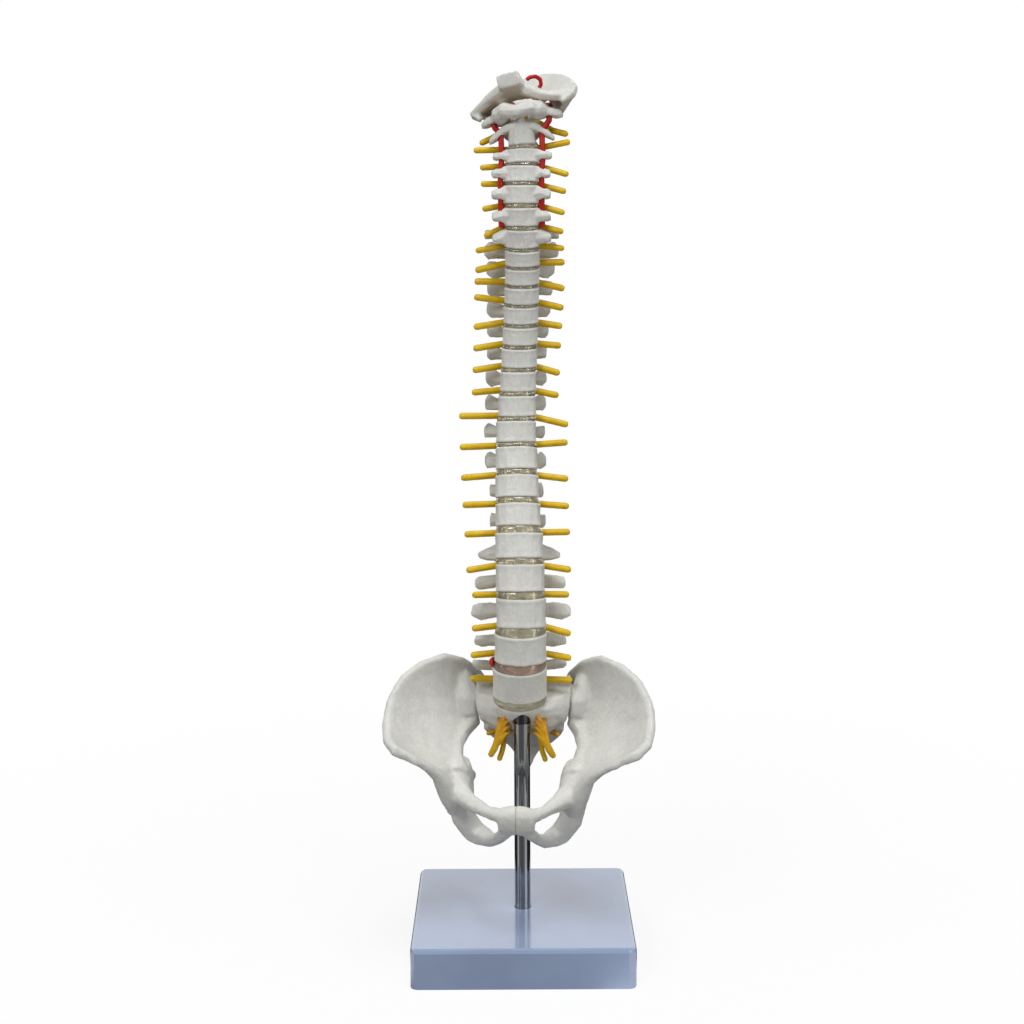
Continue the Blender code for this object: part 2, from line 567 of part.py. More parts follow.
def frame_of(centre, tilt, turn, lean=0.0):
    """Return a frame that tilts forward, raises its +X side by lean and turns about the upright."""
    angles = (math.radians(tilt), math.radians(-lean), math.radians(turn))
    return Matrix.LocRotScale(centre, Euler(angles, "XYZ"), None)


def stack_levels():
    """Stack the vertebrae on the sacral plate and return levels and joints, lowest first."""
    levels = [Level(name) for name in LEVELS]
    joints = []
    top = PLATE_CENTRE.copy()
    tilt, turn, lean = PLATE_TILT, PELVIS_TURN, 0.0
    lower = []
    for level in levels:
        low_face = frame_of(top, tilt, turn, lean)
        middle_tilt = math.radians((tilt + level.tilt) / 2)
        rise = Vector((0, -math.sin(middle_tilt), math.cos(middle_tilt)))
        bottom = top + rise * level.disc
        bottom.x = level.sway
        own = frame_of(bottom, level.tilt, level.turn, level.lean)
        up = own.to_3x3() @ Vector((0, 0, 1))
        level.frame = frame_of(bottom + up * level.height / 2, level.tilt, level.turn, level.lean)
        joints.append(Joint(low_face, own, lower + [level]))
        top = bottom + up * level.height
        tilt, turn, lean = level.tilt, level.turn, level.lean
        lower = [level]
    return levels, joints


def body_outline(width, depth, z, count=BODY_SIDES):
    """Return a vertebral body's outline, round in front and flatter behind."""
    ring = []
    for k in range(count):
        angle = 2 * math.pi * k / count
        y = -depth / 2 * math.cos(angle)
        ring.append(Vector((width / 2 * math.sin(angle), y * (BACK_FLATTENING if y > 0 else 1), z)))
    return ring


def slab_ring(centre, across, half_thickness, low, high):
    """Return an upright section, thin along the across direction and higher inside."""
    side = Vector((across[0], across[1], 0)).normalized() * half_thickness
    middle = Vector((*centre, 0))
    up = Vector((0, 0, 1))
    drop = (high - low) * SLAB_SHOULDER
    return [middle + side + up * (high - drop), middle + side + up * (low + drop),
            middle - side + up * low, middle - side + up * high]


def oval_ring(centre, side, up, count=6):
    """Return an oval section spanned by two half axes."""
    ring = []
    for k in range(count):
        angle = 2 * math.pi * k / count
        ring.append(Vector(centre) + Vector(side) * math.sin(angle) + Vector(up) * math.cos(angle))
    return ring


def block_ring(y, low, high, half_width):
    """Return an upright section of a block with cut corners, at a depth y."""
    ring = []
    for x_share, z_share in ((-1, -CLIVUS_CORNER), (-CLIVUS_CORNER, -1), (CLIVUS_CORNER, -1),
                             (1, -CLIVUS_CORNER), (1, CLIVUS_CORNER), (CLIVUS_CORNER, 1),
                             (-CLIVUS_CORNER, 1), (-1, CLIVUS_CORNER)):
        ring.append(Vector((half_width * x_share, y,
                            (low + high) / 2 + (high - low) / 2 * z_share)))
    return ring


def body_part(level, group):
    """Make the vertebral body, a spool with a slight waist."""
    half = level.height / 2
    width, depth = level.width + 2 * SKIN_LOSS, level.depth + 2 * SKIN_LOSS
    rings = [body_outline(width, depth, -half), body_outline(width * WAIST, depth * WAIST, 0),
             body_outline(width, depth, half)]
    return loft(level.name, rings, group)


def arch_part(level, group):
    """Make the arch round the canal: two pedicles and two laminae in one sweep."""
    height = level.height
    low = smooth_value(PEDICLE_LOW, level.name)
    high = smooth_value(PEDICLE_HIGH, level.name)
    out = level.canal_side + level.pedicle
    behind = level.canal_y + level.canal_depth / 2 + level.lamina
    half = [((out, level.back - 1.6 * MM), (1, 0), level.pedicle, low, high),
            ((out, level.canal_y), (1, 0.15), level.pedicle, low, high),
            ((level.canal_side * LAMINA_SIDE, behind - 0.2 * MM), (0.6, 0.8), level.lamina,
             *LAMINA_EDGES),
            ((0, behind + 0.9 * MM), (0, 1), level.lamina * LAMINA_BACK_SWELL,
             *LAMINA_BACK_EDGES)]
    rings = [slab_ring(place, across, thick, base * height, crown * height)
             for place, across, thick, base, crown in half]
    mirrored = [slab_ring((-place[0], place[1]), (-across[0], across[1]), thick,
                          base * height, crown * height)
                for place, across, thick, base, crown in reversed(half[:-1])]
    return loft(level.name + "_arch", rings + mirrored, group)


def spine_part(level, group):
    """Make the spinous process, deep and square in the loin, long and sloping in the chest."""
    length = smooth_value(SPINE_LENGTH, level.name) * MM
    drop = math.radians(smooth_value(SPINE_DROP, level.name))
    tip = smooth_value(SPINE_TIP_HEIGHT, level.name) * MM / 2
    root = level.canal_y + level.canal_depth / 2 + level.lamina
    root_half = level.height * SPINE_ROOT_HEIGHT
    start = Vector((0, root, SPINE_ROOT_DROP * level.height))
    along = Vector((0, math.cos(drop), -math.sin(drop)))
    upright = Vector((0, math.sin(drop) * 0.5, 1)).normalized()
    rings = []
    for share, thick, rise in SPINE_OUTLINE:
        tall = root_half + (tip - root_half) * min(rise, 2 - rise)
        rings.append(oval_ring(start + along * length * share,
                               Vector((level.lamina * thick, 0, 0)), upright * tall))
    return loft(level.name + "_spine", rings, group)


def side_part(level, sign, group):
    """Make a transverse process of the chest or the loin, a rounded lobe."""
    span = smooth_value(SIDE_PROCESS_SPAN, level.name) * MM
    back = smooth_value(SIDE_PROCESS_BACK, level.name) * MM
    tip_z = smooth_value(SIDE_PROCESS_HEIGHT, level.name) * MM
    root = Vector((level.canal_side + level.pedicle, level.canal_y + 0.3 * MM, tip_z * 0.4))
    tip = Vector((span, level.canal_y + 0.3 * MM + back, tip_z))
    deep = LOBE_HALF_DEPTH[level.region]
    root_tall = smooth_value(SIDE_PROCESS_ROOT, level.name) * MM
    tip_tall = smooth_value(SIDE_PROCESS_TIP, level.name) * MM
    rings = []
    for share, scale in LOBE_OUTLINE:
        centre = root.lerp(tip, share)
        centre.x *= sign
        tall = (root_tall + (tip_tall - root_tall) * share) * scale
        rings.append(oval_ring(centre, (0, deep * scale, 0), (0, 0, tall), 8))
    return loft(level.name + "_side", rings, group)


def neck_side_part(level, sign, group):
    """Make a neck vertebra's transverse process, a short wing round the artery's hole."""
    rings = []
    for x, deep, tall, rise in NECK_WING:
        rings.append(oval_ring((sign * x * MM, NECK_WING_BACK, rise * level.height),
                               (0, deep * MM, 0), (0, 0, tall * level.height), 8))
    return loft(level.name + "_side", rings, group)


def plate_ring(frame, own, centre, half_x, half_y):
    """Return a rectangle that lies level in one frame, expressed in another."""
    inside = own.inverted() @ frame
    x, y, z = centre
    corners = ((-1, -1), (1, -1), (1, 1), (-1, 1))
    return [inside @ Vector((x + a * half_x, y + b * half_y, z)) for a, b in corners]


def facet_parts(level, joint, upward, group):
    """Make the pair of articular processes that meets the neighbour at a joint."""
    shift = (joint.facet_depth + FACET_GAP / 2) * (-1 if upward else 1)
    height = level.height
    parts = []
    for sign in (-1, 1):
        if upward:
            root, ends = UPPER_FACET
            base = plate_ring(level.frame, level.frame,
                              (sign * (level.canal_side + level.pedicle),
                               level.canal_y + FACET_GAP, root * height),
                              level.pedicle, joint.facet_depth)
        else:
            behind = level.canal_y + level.canal_depth / 2 + level.lamina
            root, ends = LOWER_FACET
            base = plate_ring(level.frame, level.frame,
                              (sign * level.canal_side * FACET_SIDE, behind - 0.9 * MM,
                               root * height), level.lamina * 1.2, joint.facet_depth)
        rings = [base]
        for end, taper in zip(ends, FACET_TAPER):
            rings.append(plate_ring(joint.frame, level.frame,
                                    (sign * joint.side, joint.back + shift, end * joint.reach),
                                    joint.facet_width * taper, joint.facet_depth))
        parts.append(loft(level.name + "_facet", rings, group))
    return parts


def bore_part(level, group):
    """Make the cutter for the flexible rod."""
    return drum(level.name + "_bore", (0, 0, 0), (0, 0, 1), ROD_BORE_DIAMETER / 2,
                level.height * 3, group)


def artery_route(levels, sign):
    """Return an artery's points from above the seventh neck vertebra up into the skull."""
    by_name = {level.name: level for level in levels}
    seventh = by_name["C7"]
    points = [seventh.point(sign * ARTERY_SIDE, ARTERY_FORWARD, seventh.height * ARTERY_START)]
    points += [by_name[key].point(sign * ARTERY_SIDE, ARTERY_FORWARD, 0)
               for key in ("C6", "C5", "C4", "C3", "C2")]
    atlas = by_name["C1"]
    top = ARTERY_TOP + (ARTERY_LOOP if sign > 0 else [])
    return points + [atlas.point(sign * x * MM, y * MM, z * MM) for x, y, z in top]


def artery_holes(level, arteries, group):
    """Make the cutters along both arteries where they pass a neck vertebra."""
    inside = level.frame.inverted()
    radius = ARTERY_DIAMETER / 2 + ARTERY_CLEARANCE
    cutters = []
    for route in arteries:
        for k in range(1, len(route) - 1):
            here = inside @ route[k]
            if abs(here.z) < level.height * 0.4 and abs(here.y) < ARTERY_REACH:
                points = [inside @ route[j] for j in (k - 1, k, k + 1)]
                cutters.append(tube("hole", points, [radius] * 3, group, sides=6))
    return cutters


def build_vertebra(level, below, above, arteries, group, bone):
    """Build one vertebra from L5 up to C3."""
    parts = [arch_part(level, group), spine_part(level, group)]
    makers = []
    if level.region == "C":
        makers.append(neck_side_part)
    if level.region != "C" or level.name == "C7":
        makers.append(side_part)
    parts += [maker(level, sign, group) for maker in makers for sign in (-1, 1)]
    parts += facet_parts(level, above, True, group)
    parts += facet_parts(level, below, False, group)
    parts.append(body_part(level, group))
    vertebra = mould(level.name, parts, VERTEBRA_GRAIN, 2, VERTEBRA_FACES[level.region], group)
    tidy(cut(vertebra, [bore_part(level, group)] + artery_holes(level, arteries, group)))
    vertebra.matrix_world = level.frame
    return finish(vertebra, level.name, bone)


def build_disc(name, joint, low, high, group, material):
    """Build a disc between two end plates, a wedge with a hole for the rod."""
    rings = []
    for face, size, lift in ((joint.low_face, low, GAP), (joint.high_face, high, -GAP)):
        inside = joint.frame.inverted() @ face
        ring = body_outline(size[0] * 0.975, size[1] * 0.975, lift)
        rings.append([inside @ point for point in ring])
    disc = loft(name, rings, group)
    cut(disc, [drum(name + "_bore", (0, 0, 0), (0, 0, 1), ROD_BORE_DIAMETER / 2, 20 * MM,
                    group, sides=6)])
    disc.matrix_world = joint.frame
    return finish(disc, name, material)


def build_axis(level, below, arteries, group, bone):
    """Build the second neck vertebra, with its tooth and sloping shoulders."""
    half = level.height / 2
    tooth = [Vector((0, TOOTH_Y, half + rise)) for rise in
             (-1.5 * MM, 3 * MM, TOOTH_HEIGHT - 1.4 * MM, TOOTH_HEIGHT)]
    parts = [tube("tooth", tooth, [TOOTH_RADIUS * 0.9, TOOTH_RADIUS * 0.86, TOOTH_RADIUS,
                                   TOOTH_RADIUS * 0.5], group)]
    for sign in (-1, 1):
        parts.append(loft("shoulder", [
            oval_ring((sign * x * MM, 0.9 * MM, z * MM), (0, deep * MM, 0), (0, 0, tall * MM))
            for x, z, deep, tall in AXIS_SHOULDER], group))
    parts += [arch_part(level, group), spine_part(level, group)]
    parts += facet_parts(level, below, False, group)
    parts.append(loft(level.name, [
        body_outline(level.width * wide, level.depth * wide, half * z)
        for z, wide in ((-1.0, 1.0), (-0.2, 0.9), (0.45, 0.86), (0.9, 0.6))], group))
    axis = mould(level.name, parts, VERTEBRA_GRAIN, 2, AXIS_FACES, group)
    bore = drum("bore", (0, 0, -half), (0, 0, 1), ROD_BORE_DIAMETER / 2, level.height, group)
    tidy(cut(axis, [bore] + artery_holes(level, arteries, group)))
    axis.matrix_world = level.frame
    return finish(axis, level.name, bone)


def build_atlas(level, arteries, group, bone):
    """Build the first neck vertebra: a ring with two lateral masses and no body."""
    parts = [bone_tube("front_arch", ATLAS_FRONT, group), bone_tube("back_arch", ATLAS_BACK, group)]
    for sign in (-1, 1):
        x, y, z = ATLAS_MASS_CENTRE
        parts.append(ball("mass", Vector((sign * x, y, z)) * MM, ATLAS_MASS_RADII, group))
        parts.append(loft("wing", [
            oval_ring((sign * x * MM, y * MM, z * MM), (0, deep * MM, 0), (0, 0, tall * MM))
            for x, y, z, deep, tall in ATLAS_WING], group))
    atlas = mould(level.name, parts, VERTEBRA_GRAIN, 2, AXIS_FACES, group)
    tooth_room = drum("tooth_room", (0, TOOTH_Y, 0), (0, 0, 1), TOOTH_RADIUS + 2 * GAP, 30 * MM,
                      group, sides=12)
    tidy(cut(atlas, [tooth_room] + artery_holes(level, arteries, group)))
    atlas.matrix_world = level.frame
    return finish(atlas, level.name, bone)


def build_occiput(atlas, group, bone):
    """Build the cut piece of the skull base over the first vertebra."""
    turn = Euler((0, math.radians(-OCCIPUT_LEAN), math.radians(OCCIPUT_TURN)))
    frame = atlas.frame @ Matrix.LocRotScale(Vector((0, 0, OCCIPUT_RISE)), turn, None)
    inner = [(-x, y, z) for x, y, z in reversed(SKULL_HOLE_RIM[1:])] + SKULL_HOLE_RIM
    outer = [(-x, y, z) for x, y, z in reversed(SKULL_OUTER_RIM[1:])] + SKULL_OUTER_RIM
    pieces = [fan_sheet("shell", inner, outer, Vector((0, 0.3, -1)), SKULL_SAG, SKULL_THICKNESS,
                        group)]
    pieces.append(loft("clivus", [
        block_ring(y * MM, low * MM, high * MM, side * MM) for y, low, high, side in CLIVUS],
        group))
    for sign in (-1, 1):
        x, y, z = CONDYLE_CENTRE
        pieces.append(ball("condyle", Vector((sign * x, y, z)) * MM, CONDYLE_RADII, group,
                           turn=(0, 0, sign * -20)))
        pieces.append(bone_tube("edge", [(sign * x, y, z, r) for x, y, z, r in SKULL_EDGE], group))
        pieces.append(fan_sheet("skirt", [(sign * x, y, z) for x, y, z in SKIRT_INNER],
                                [(sign * x, y, z) for x, y, z in SKIRT_OUTER], Vector(), 0,
                                SKIRT_THICKNESS, group))
    pieces += [bone_tube("side", SKULL_LEFT_SIDE, group), bone_tube("side", SKULL_RIGHT_SIDE, group)]
    skull = mould("occiput", pieces, SKULL_GRAIN, 3, OCCIPUT_FACES, group)
    hole = ball("foramen", SKULL_HOLE_CENTRE, SKULL_HOLE_RADII, group, fine=3)
    face = block("face", (0, CLIVUS_FRONT - 19 * MM, 8 * MM), (60 * MM, 40 * MM, 60 * MM),
                 group, turn=Euler((math.radians(CLIVUS_FACE_LEAN), 0, 0)))
    tidy(cut(skull, [hole, face]))
    skull.matrix_world = frame
    return finish(skull, "occiput", bone)


def pelvis_frame():
    """Return the pelvis's frame: turned about the pole and shifted a little."""
    return Matrix.LocRotScale(PELVIS_SHIFT, Euler((0, 0, math.radians(PELVIS_TURN))), None)


def joint_plane_cutter(name, shift, inward, half_y, half_z, group):
    """Make the box whose one face is the sacroiliac joint's plane."""
    turn = Euler((0, math.radians(SI_LEAN), math.radians(SI_TOE)), "ZYX")
    half = 60 * MM
    normal = turn.to_matrix() @ Vector((1, 0, 0))
    centre = SI_POINT + normal * (shift + (-half if inward else half))
    return block(name, centre, (2 * half, 2 * half_y, 2 * half_z), group, turn=turn)


def mirror_mesh(item):
    """Mirror an object's mesh across its own mid plane."""
    for vertex in item.data.vertices:
        vertex.co.x = -vertex.co.x
    item.data.flip_normals()
    return item


def fan_sheet(name, inner, outer, lean, sag, thickness, group):
    """Make a curved plate: a fan of bowed runs from inner to outer points, thickened."""
    form = bmesh.new()
    rows = []
    for low, high in zip(inner, outer):
        low, high = Vector(low) * MM, Vector(high) * MM
        rows.append([form.verts.new(low.lerp(high, k / 4) + lean * sag * math.sin(math.pi * k / 4))
                     for k in range(5)])
    for first, second in zip(rows, rows[1:]):
        for k in range(4):
            form.faces.new((first[k], first[k + 1], second[k + 1], second[k]))
    sheet = add_mesh(name, form, group)
    round_off = sheet.modifiers.new("round", "SUBSURF")
    round_off.levels = 2
    round_off.render_levels = 2
    wall = sheet.modifiers.new("wall", "SOLIDIFY")
    wall.thickness = thickness
    wall.offset = 0
    return bake(sheet)


def bone_tube(name, stations, group):
    """Make a rounded tube from (x, y, z, radius) stations in millimetres."""
    points = [Vector(station[:3]) * MM for station in stations]
    return tube(name, points, [station[3] * MM for station in stations], group, sides=12)


def build_hips(group, bone):
    """Build both hip bones in the pelvis's frame, the left one as the right one's mirror."""
    crest = [(*point, radius) for point, radius in zip(CREST_POINTS, CREST_RADII)]
    pieces = [fan_sheet("wing", BRIM_POINTS, CREST_POINTS, WING_BACK, WING_SAG, WING_THICKNESS,
                        group), bone_tube("crest", crest, group)]
    pieces += [ball("socket_mass", SOCKET_MASS_CENTRE, SOCKET_MASS_RADII, group, fine=3)]
    for name, stations in HIP_TUBES.items():
        pieces.append(bone_tube(name, stations, group))
    hip = mould("hip_right", pieces, BONE_GRAIN, 4, HIP_FACES, group)
    cup = ball("cup", SOCKET_CENTRE, (SOCKET_RADIUS,) * 3, group, fine=3)
    mid = block("mid", (-40 * MM + GAP / 2, -40 * MM, 80 * MM), (80 * MM, 60 * MM, 60 * MM), group)
    joint = joint_plane_cutter("joint", GAP / 2, True, SI_HALF_DEPTH, SI_HALF_HEIGHT, group)
    tidy(cut(hip, [cup, mid, joint]))
    left = bpy.data.objects.new("hip_left", hip.data.copy())
    group.objects.link(left)
    mirror_mesh(left)
    for item, name in ((hip, "hip_right"), (left, "hip_left")):
        item.matrix_world = pelvis_frame()
        finish(item, name, bone)


def build_sacrum(plate_face, group, bone):
    """Build the sacrum and coccyx: a tapering shield along a curve, with wings and a canal."""
    rings = []
    for k, (y, z, side, deep) in enumerate(SACRUM_RINGS):
        before, after = SACRUM_RINGS[max(k - 1, 0)], SACRUM_RINGS[min(k + 1, len(SACRUM_RINGS) - 1)]
        along = Vector((0, after[0] - before[0], after[1] - before[1])).normalized()
        across = Vector((0, -along.z, along.y)) * deep * MM
        rings.append(oval_ring(Vector((0, y, z)) * MM, (side * MM, 0, 0), across, 16))
    pieces = [loft("shield", rings, group)]
    for stations in SACRUM_TUBES:
        pieces.append(bone_tube("crest", stations, group))
    plate = body_outline(PLATE_WIDTH, PLATE_DEPTH, 0)
    lower = body_outline(PLATE_WIDTH * 0.94, PLATE_DEPTH * 0.86, -9 * MM)
    into = pelvis_frame().inverted() @ plate_face
    pieces.append(loft("plate", [[into @ p for p in lower], [into @ p for p in plate]], group))
    for sign in (-1, 1):
        pieces.append(loft("ala_run", [
            oval_ring((sign * x * MM, y * MM, z * MM), (0, deep * MM, 0), (0, 0, tall * MM), 16)
            for x, y, z, deep, tall in ALA_RUN], group))
        for stations in ALA_TUBES:
            pieces.append(bone_tube("ala", [(sign * x, y, z, r) for x, y, z, r in stations], group))
    sacrum = mould("sacrum", pieces, BONE_GRAIN, 3, SACRUM_FACES, group)
    sides = [joint_plane_cutter("side", -GAP / 2, False, 60 * MM, 60 * MM, group)
             for _ in range(2)]
    mirror_mesh(sides[1])
    trim = block("trim", (0, 0, 0), (60 * MM, 21 * MM, 20 * MM), group)
    trim.data.transform(into @ Matrix.Translation((0, 0, 10 * MM)))
    bore = drum("pole_bore", (0, 0, POLE_TOP_Z + GAP - 20 * MM), (0, 0, 1),
                POLE_DIAMETER / 2 + GAP, 40 * MM, group, sides=POLE_SIDES)
    bore.data.transform(pelvis_frame().inverted())
    rod = drum("rod_bore", (0, 0, 0), (0, 0, 1), ROD_BORE_DIAMETER / 2, 2 * ROD_SEAT_DEPTH, group)
    rod.data.transform(into)
    cutters = sides + [trim, bore, rod, bone_tube("canal", SACRAL_CANAL, group)]
    for points, radius in sacral_strands():
        cutters.append(tube("hole", points, [radius + NERVE_CLEARANCE] * len(points), group,
                            sides=6))
    tidy(cut(sacrum, cutters))
    sacrum.matrix_world = pelvis_frame()
    return finish(sacrum, "sacrum", bone)


def build_base(group, material):
    """Build the base: a rounded shell, open below, with ribs and a boss for the pole."""
    outer = block("base", (0, 0, BASE_HEIGHT / 2), (BASE_WIDTH, BASE_WIDTH, BASE_HEIGHT), group)
    corners = outer.modifiers.new("corners", "BEVEL")
    corners.width = BASE_CORNER_ROUND
    corners.segments = 3
    corners.limit_method = "WEIGHT"
    weights = outer.data.attributes.new("bevel_weight_edge", "FLOAT", "EDGE")
    points = outer.data.vertices
    for edge in outer.data.edges:
        first, second = (points[k].co for k in edge.vertices)
        upright = abs(first.x - second.x) + abs(first.y - second.y) < MM
        weights.data[edge.index].value = 1.0 if upright else 0.0
    bake(outer)
    form = bmesh.new()
    form.from_mesh(outer.data)
    top = [edge for edge in form.edges
           if all(vert.co.z > BASE_HEIGHT - MM / 10 for vert in edge.verts)]
    bmesh.ops.bevel(form, geom=top, offset=BASE_EDGE_ROUND, segments=2, affect="EDGES",
                    profile=0.5)
    form.to_mesh(outer.data)
    form.free()
    inside = BASE_WIDTH - 2 * BASE_WALL
    hollow = block("hollow", (0, 0, (BASE_HEIGHT - BASE_WALL) / 2 - 5 * MM),
                   (inside, inside, BASE_HEIGHT - BASE_WALL + 10 * MM), group)
    ribs = []
    pitch = inside / (BASE_RIBS_EACH_WAY + 1)
    rib_height = BASE_HEIGHT - BASE_WALL - 1.0 * MM
    for k in range(BASE_RIBS_EACH_WAY):
        place = -inside / 2 + pitch * (k + 1)
        for size, centre in (((BASE_RIB_THICKNESS, inside + MM), (place, 0)),
                             ((inside + MM, BASE_RIB_THICKNESS), (0, place))):
            ribs.append(block("rib", (*centre, BASE_HEIGHT - BASE_WALL + MM / 2 - rib_height / 2),
                              (*size, rib_height + MM), group))
    boss_height = BASE_HEIGHT - NUT_Z - NUT_HEIGHT - GAP
    boss = drum("boss", (0, 0, BASE_HEIGHT - boss_height / 2 - MM / 2), (0, 0, 1),
                BASE_BOSS_DIAMETER / 2, boss_height - MM, group, sides=24)
    cut(outer, [hollow])
    join(outer, ribs + [boss])
    bore = drum("bore", (0, 0, BASE_HEIGHT), (0, 0, 1), POLE_DIAMETER / 2 + GAP, 60 * MM, group,
                sides=POLE_SIDES)
    tidy(cut(outer, [bore]))
    return finish(outer, "base", material)


def turned(name, profile, sides, group):
    """Make a turned solid from an (r, z) profile that runs down its outer side."""
    form = bmesh.new()
    points = [form.verts.new((r, 0, z)) for r, z in profile]
    for low, high in zip(points, points[1:]):
        form.edges.new((low, high))
    mesh = bpy.data.meshes.new(name)
    form.to_mesh(mesh)
    form.free()
    item = bpy.data.objects.new(name, mesh)
    group.objects.link(item)
    screw = item.modifiers.new("turn", "SCREW")
    screw.steps = sides
    screw.render_steps = sides
    screw.use_merge_vertices = True
    screw.merge_threshold = 0.00001
    return item


def build_pole(group, material):
    """Turn the pole, with its groove and chamfered ends."""
    radius = POLE_DIAMETER / 2
    low, high = NUT_Z - 1.5 * MM, POLE_TOP_Z
    groove = radius - POLE_GROOVE_DEPTH
    profile = [(0, high), (radius - POLE_CHAMFER, high), (radius, high - POLE_CHAMFER),
               (radius, POLE_GROOVE_Z + POLE_GROOVE_WIDTH / 2),
               (groove, POLE_GROOVE_Z + POLE_GROOVE_WIDTH / 2),
               (groove, POLE_GROOVE_Z - POLE_GROOVE_WIDTH / 2),
               (radius, POLE_GROOVE_Z - POLE_GROOVE_WIDTH / 2),
               (radius, low + POLE_CHAMFER), (radius - POLE_CHAMFER, low), (0, low)]
    return finish(turned("pole", profile, POLE_SIDES, group), "pole", material)


def build_nut(group, material):
    """Make the nut that holds the pole under the base's boss."""
    corner = NUT_ACROSS_FLATS / math.sqrt(3)
    nut = drum("pole_nut", (0, 0, NUT_Z + NUT_HEIGHT / 2), (0, 0, 1), corner, NUT_HEIGHT, group,
               sides=6)
    cut(nut, [drum("bore", (0, 0, NUT_Z), (0, 0, 1), POLE_DIAMETER / 2 + GAP, 30 * MM, group,
                   sides=POLE_SIDES)])
    return finish(nut, "pole_nut", material)


def build_rod(levels, joints, group, material):
    """Make the flexible rod from the sacral plate up into the second vertebra."""
    start = joints[0].low_face @ Vector((0, 0, -ROD_SEAT_DEPTH + GAP))
    points = [start] + [joint.frame.translation for joint in joints[:-1]]
    points.append(levels[-2].point(0, 0, -GAP))
    rod = tube("core_rod", points, [ROD_DIAMETER / 2] * len(points), group, sides=6)
    return finish(rod, "core_rod", material)


def nerve_route(joint, level, sign, reach, drop, radius):
    """Return the points of one nerve from the cord out through the side opening."""
    rise = smooth_value(NERVE_RISE, level.name) * MM
    door = Vector((sign * (level.canal_side + level.pedicle), level.back + radius - GAP, rise))
    tip = Vector((sign * reach, level.back - 2.0 * MM, rise - drop))
    start = Vector((sign * CORD_DIAMETER * 0.2, level.canal_y, rise * 0.8))
    knee = tip + (door - tip).normalized() * NERVE_TIP_LENGTH
    return [joint.frame @ point for point in (start, door, knee, tip)]


def sacral_strands():
    """Return the sacral nerves of both sides as (points, radius) in the pelvis's frame."""
    strands = []
    for points, radius in SACRAL_NERVES:
        for sign in (-1, 1):
            strands.append(([Vector((sign * x, y, z)) * MM for x, y, z in points], radius * MM))
    return strands


def build_nerves(levels, joints, group, material):
    """Build the cord with every nerve pair as one soft moulding."""
    pelvis = pelvis_frame()
    route = [levels[-1].point(0, levels[-1].canal_y + MM, 3 * MM)]
    for level, joint in zip(reversed(levels), reversed(joints)):
        route.append(joint.frame @ Vector((0, level.canal_y, 0)))
    radii = [CORD_DIAMETER / 2] * len(route)
    for x, y, z, radius in CORD_END:
        route.append(pelvis @ (Vector((x, y, z)) * MM))
        radii.append(radius * MM)
    cord = tube("spinal_cord_and_nerves", route, radii, group, sides=6)
    nerves = []
    for level, joint in zip(levels[:-1], joints):
        for sign, stations in ((-1, NERVE_REACH_LEFT), (1, NERVE_REACH_RIGHT)):
            reach = smooth_value(stations, level.name) * MM
            drop = NERVE_DROP[level.name][0 if sign < 0 else 1] * MM
            radius = (NECK_NERVE_DIAMETER if level.region == "C" else NERVE_DIAMETER) / 2
            points = nerve_route(joint, level, sign, reach, drop, radius)
            nerves.append(tube("nerve", points, [radius * 0.8, radius, radius, radius * NERVE_TIP],
                               group, sides=6))
    radius = NECK_NERVE_DIAMETER / 2
    for sign in (-1, 1):
        points = [joints[-1].frame @ (Vector((sign * x, y, z)) * MM) for x, y, z in TOP_NERVE]
        nerves.append(tube("nerve", points, [radius] * 4 + [radius * NERVE_TIP], group, sides=6))
    for points, radius in sacral_strands():
        nerves.append(tube("strand", [pelvis @ point for point in points],
                           [radius] * (len(points) - 1) + [radius * NERVE_TIP], group, sides=6))
    tidy(join(cord, nerves))
    return finish(cord, "spinal_cord_and_nerves", material)


def build_artery(route, loop, name, group, material):
    """Make a vertebral artery through the neck's side holes up to the skull."""
    slender = len(ARTERY_LOOP) if loop else 0
    radii = [ARTERY_DIAMETER / 2] * (len(route) - slender) + [ARTERY_LOOP_DIAMETER / 2] * slender
    artery = tube(name, route, radii, group, sides=6)
    return finish(artery, name, material)


def build_herniation(joint, low, high, group, material):
    """Make the bulge of the torn disc, held clear of both bodies beside it."""
    edge = (low.width + high.width) / 4
    centre = Vector((HERNIA_INSET - edge, 0, 0)) + HERNIA_OFFSET
    bulge = ball("disc_herniation", centre, HERNIA_RADII, group)
    clear = 2 * (SKIN_LOSS + GAP)
    rings = [body_outline(level.width + clear, level.depth + clear, z, count=24)
             for level, z in ((low, -8 * MM), (low, 0), (high, 8 * MM))]
    cut(bulge, [loft("neighbours", rings, group)])
    bulge.matrix_world = joint.frame
    return finish(bulge, "disc_herniation", material)


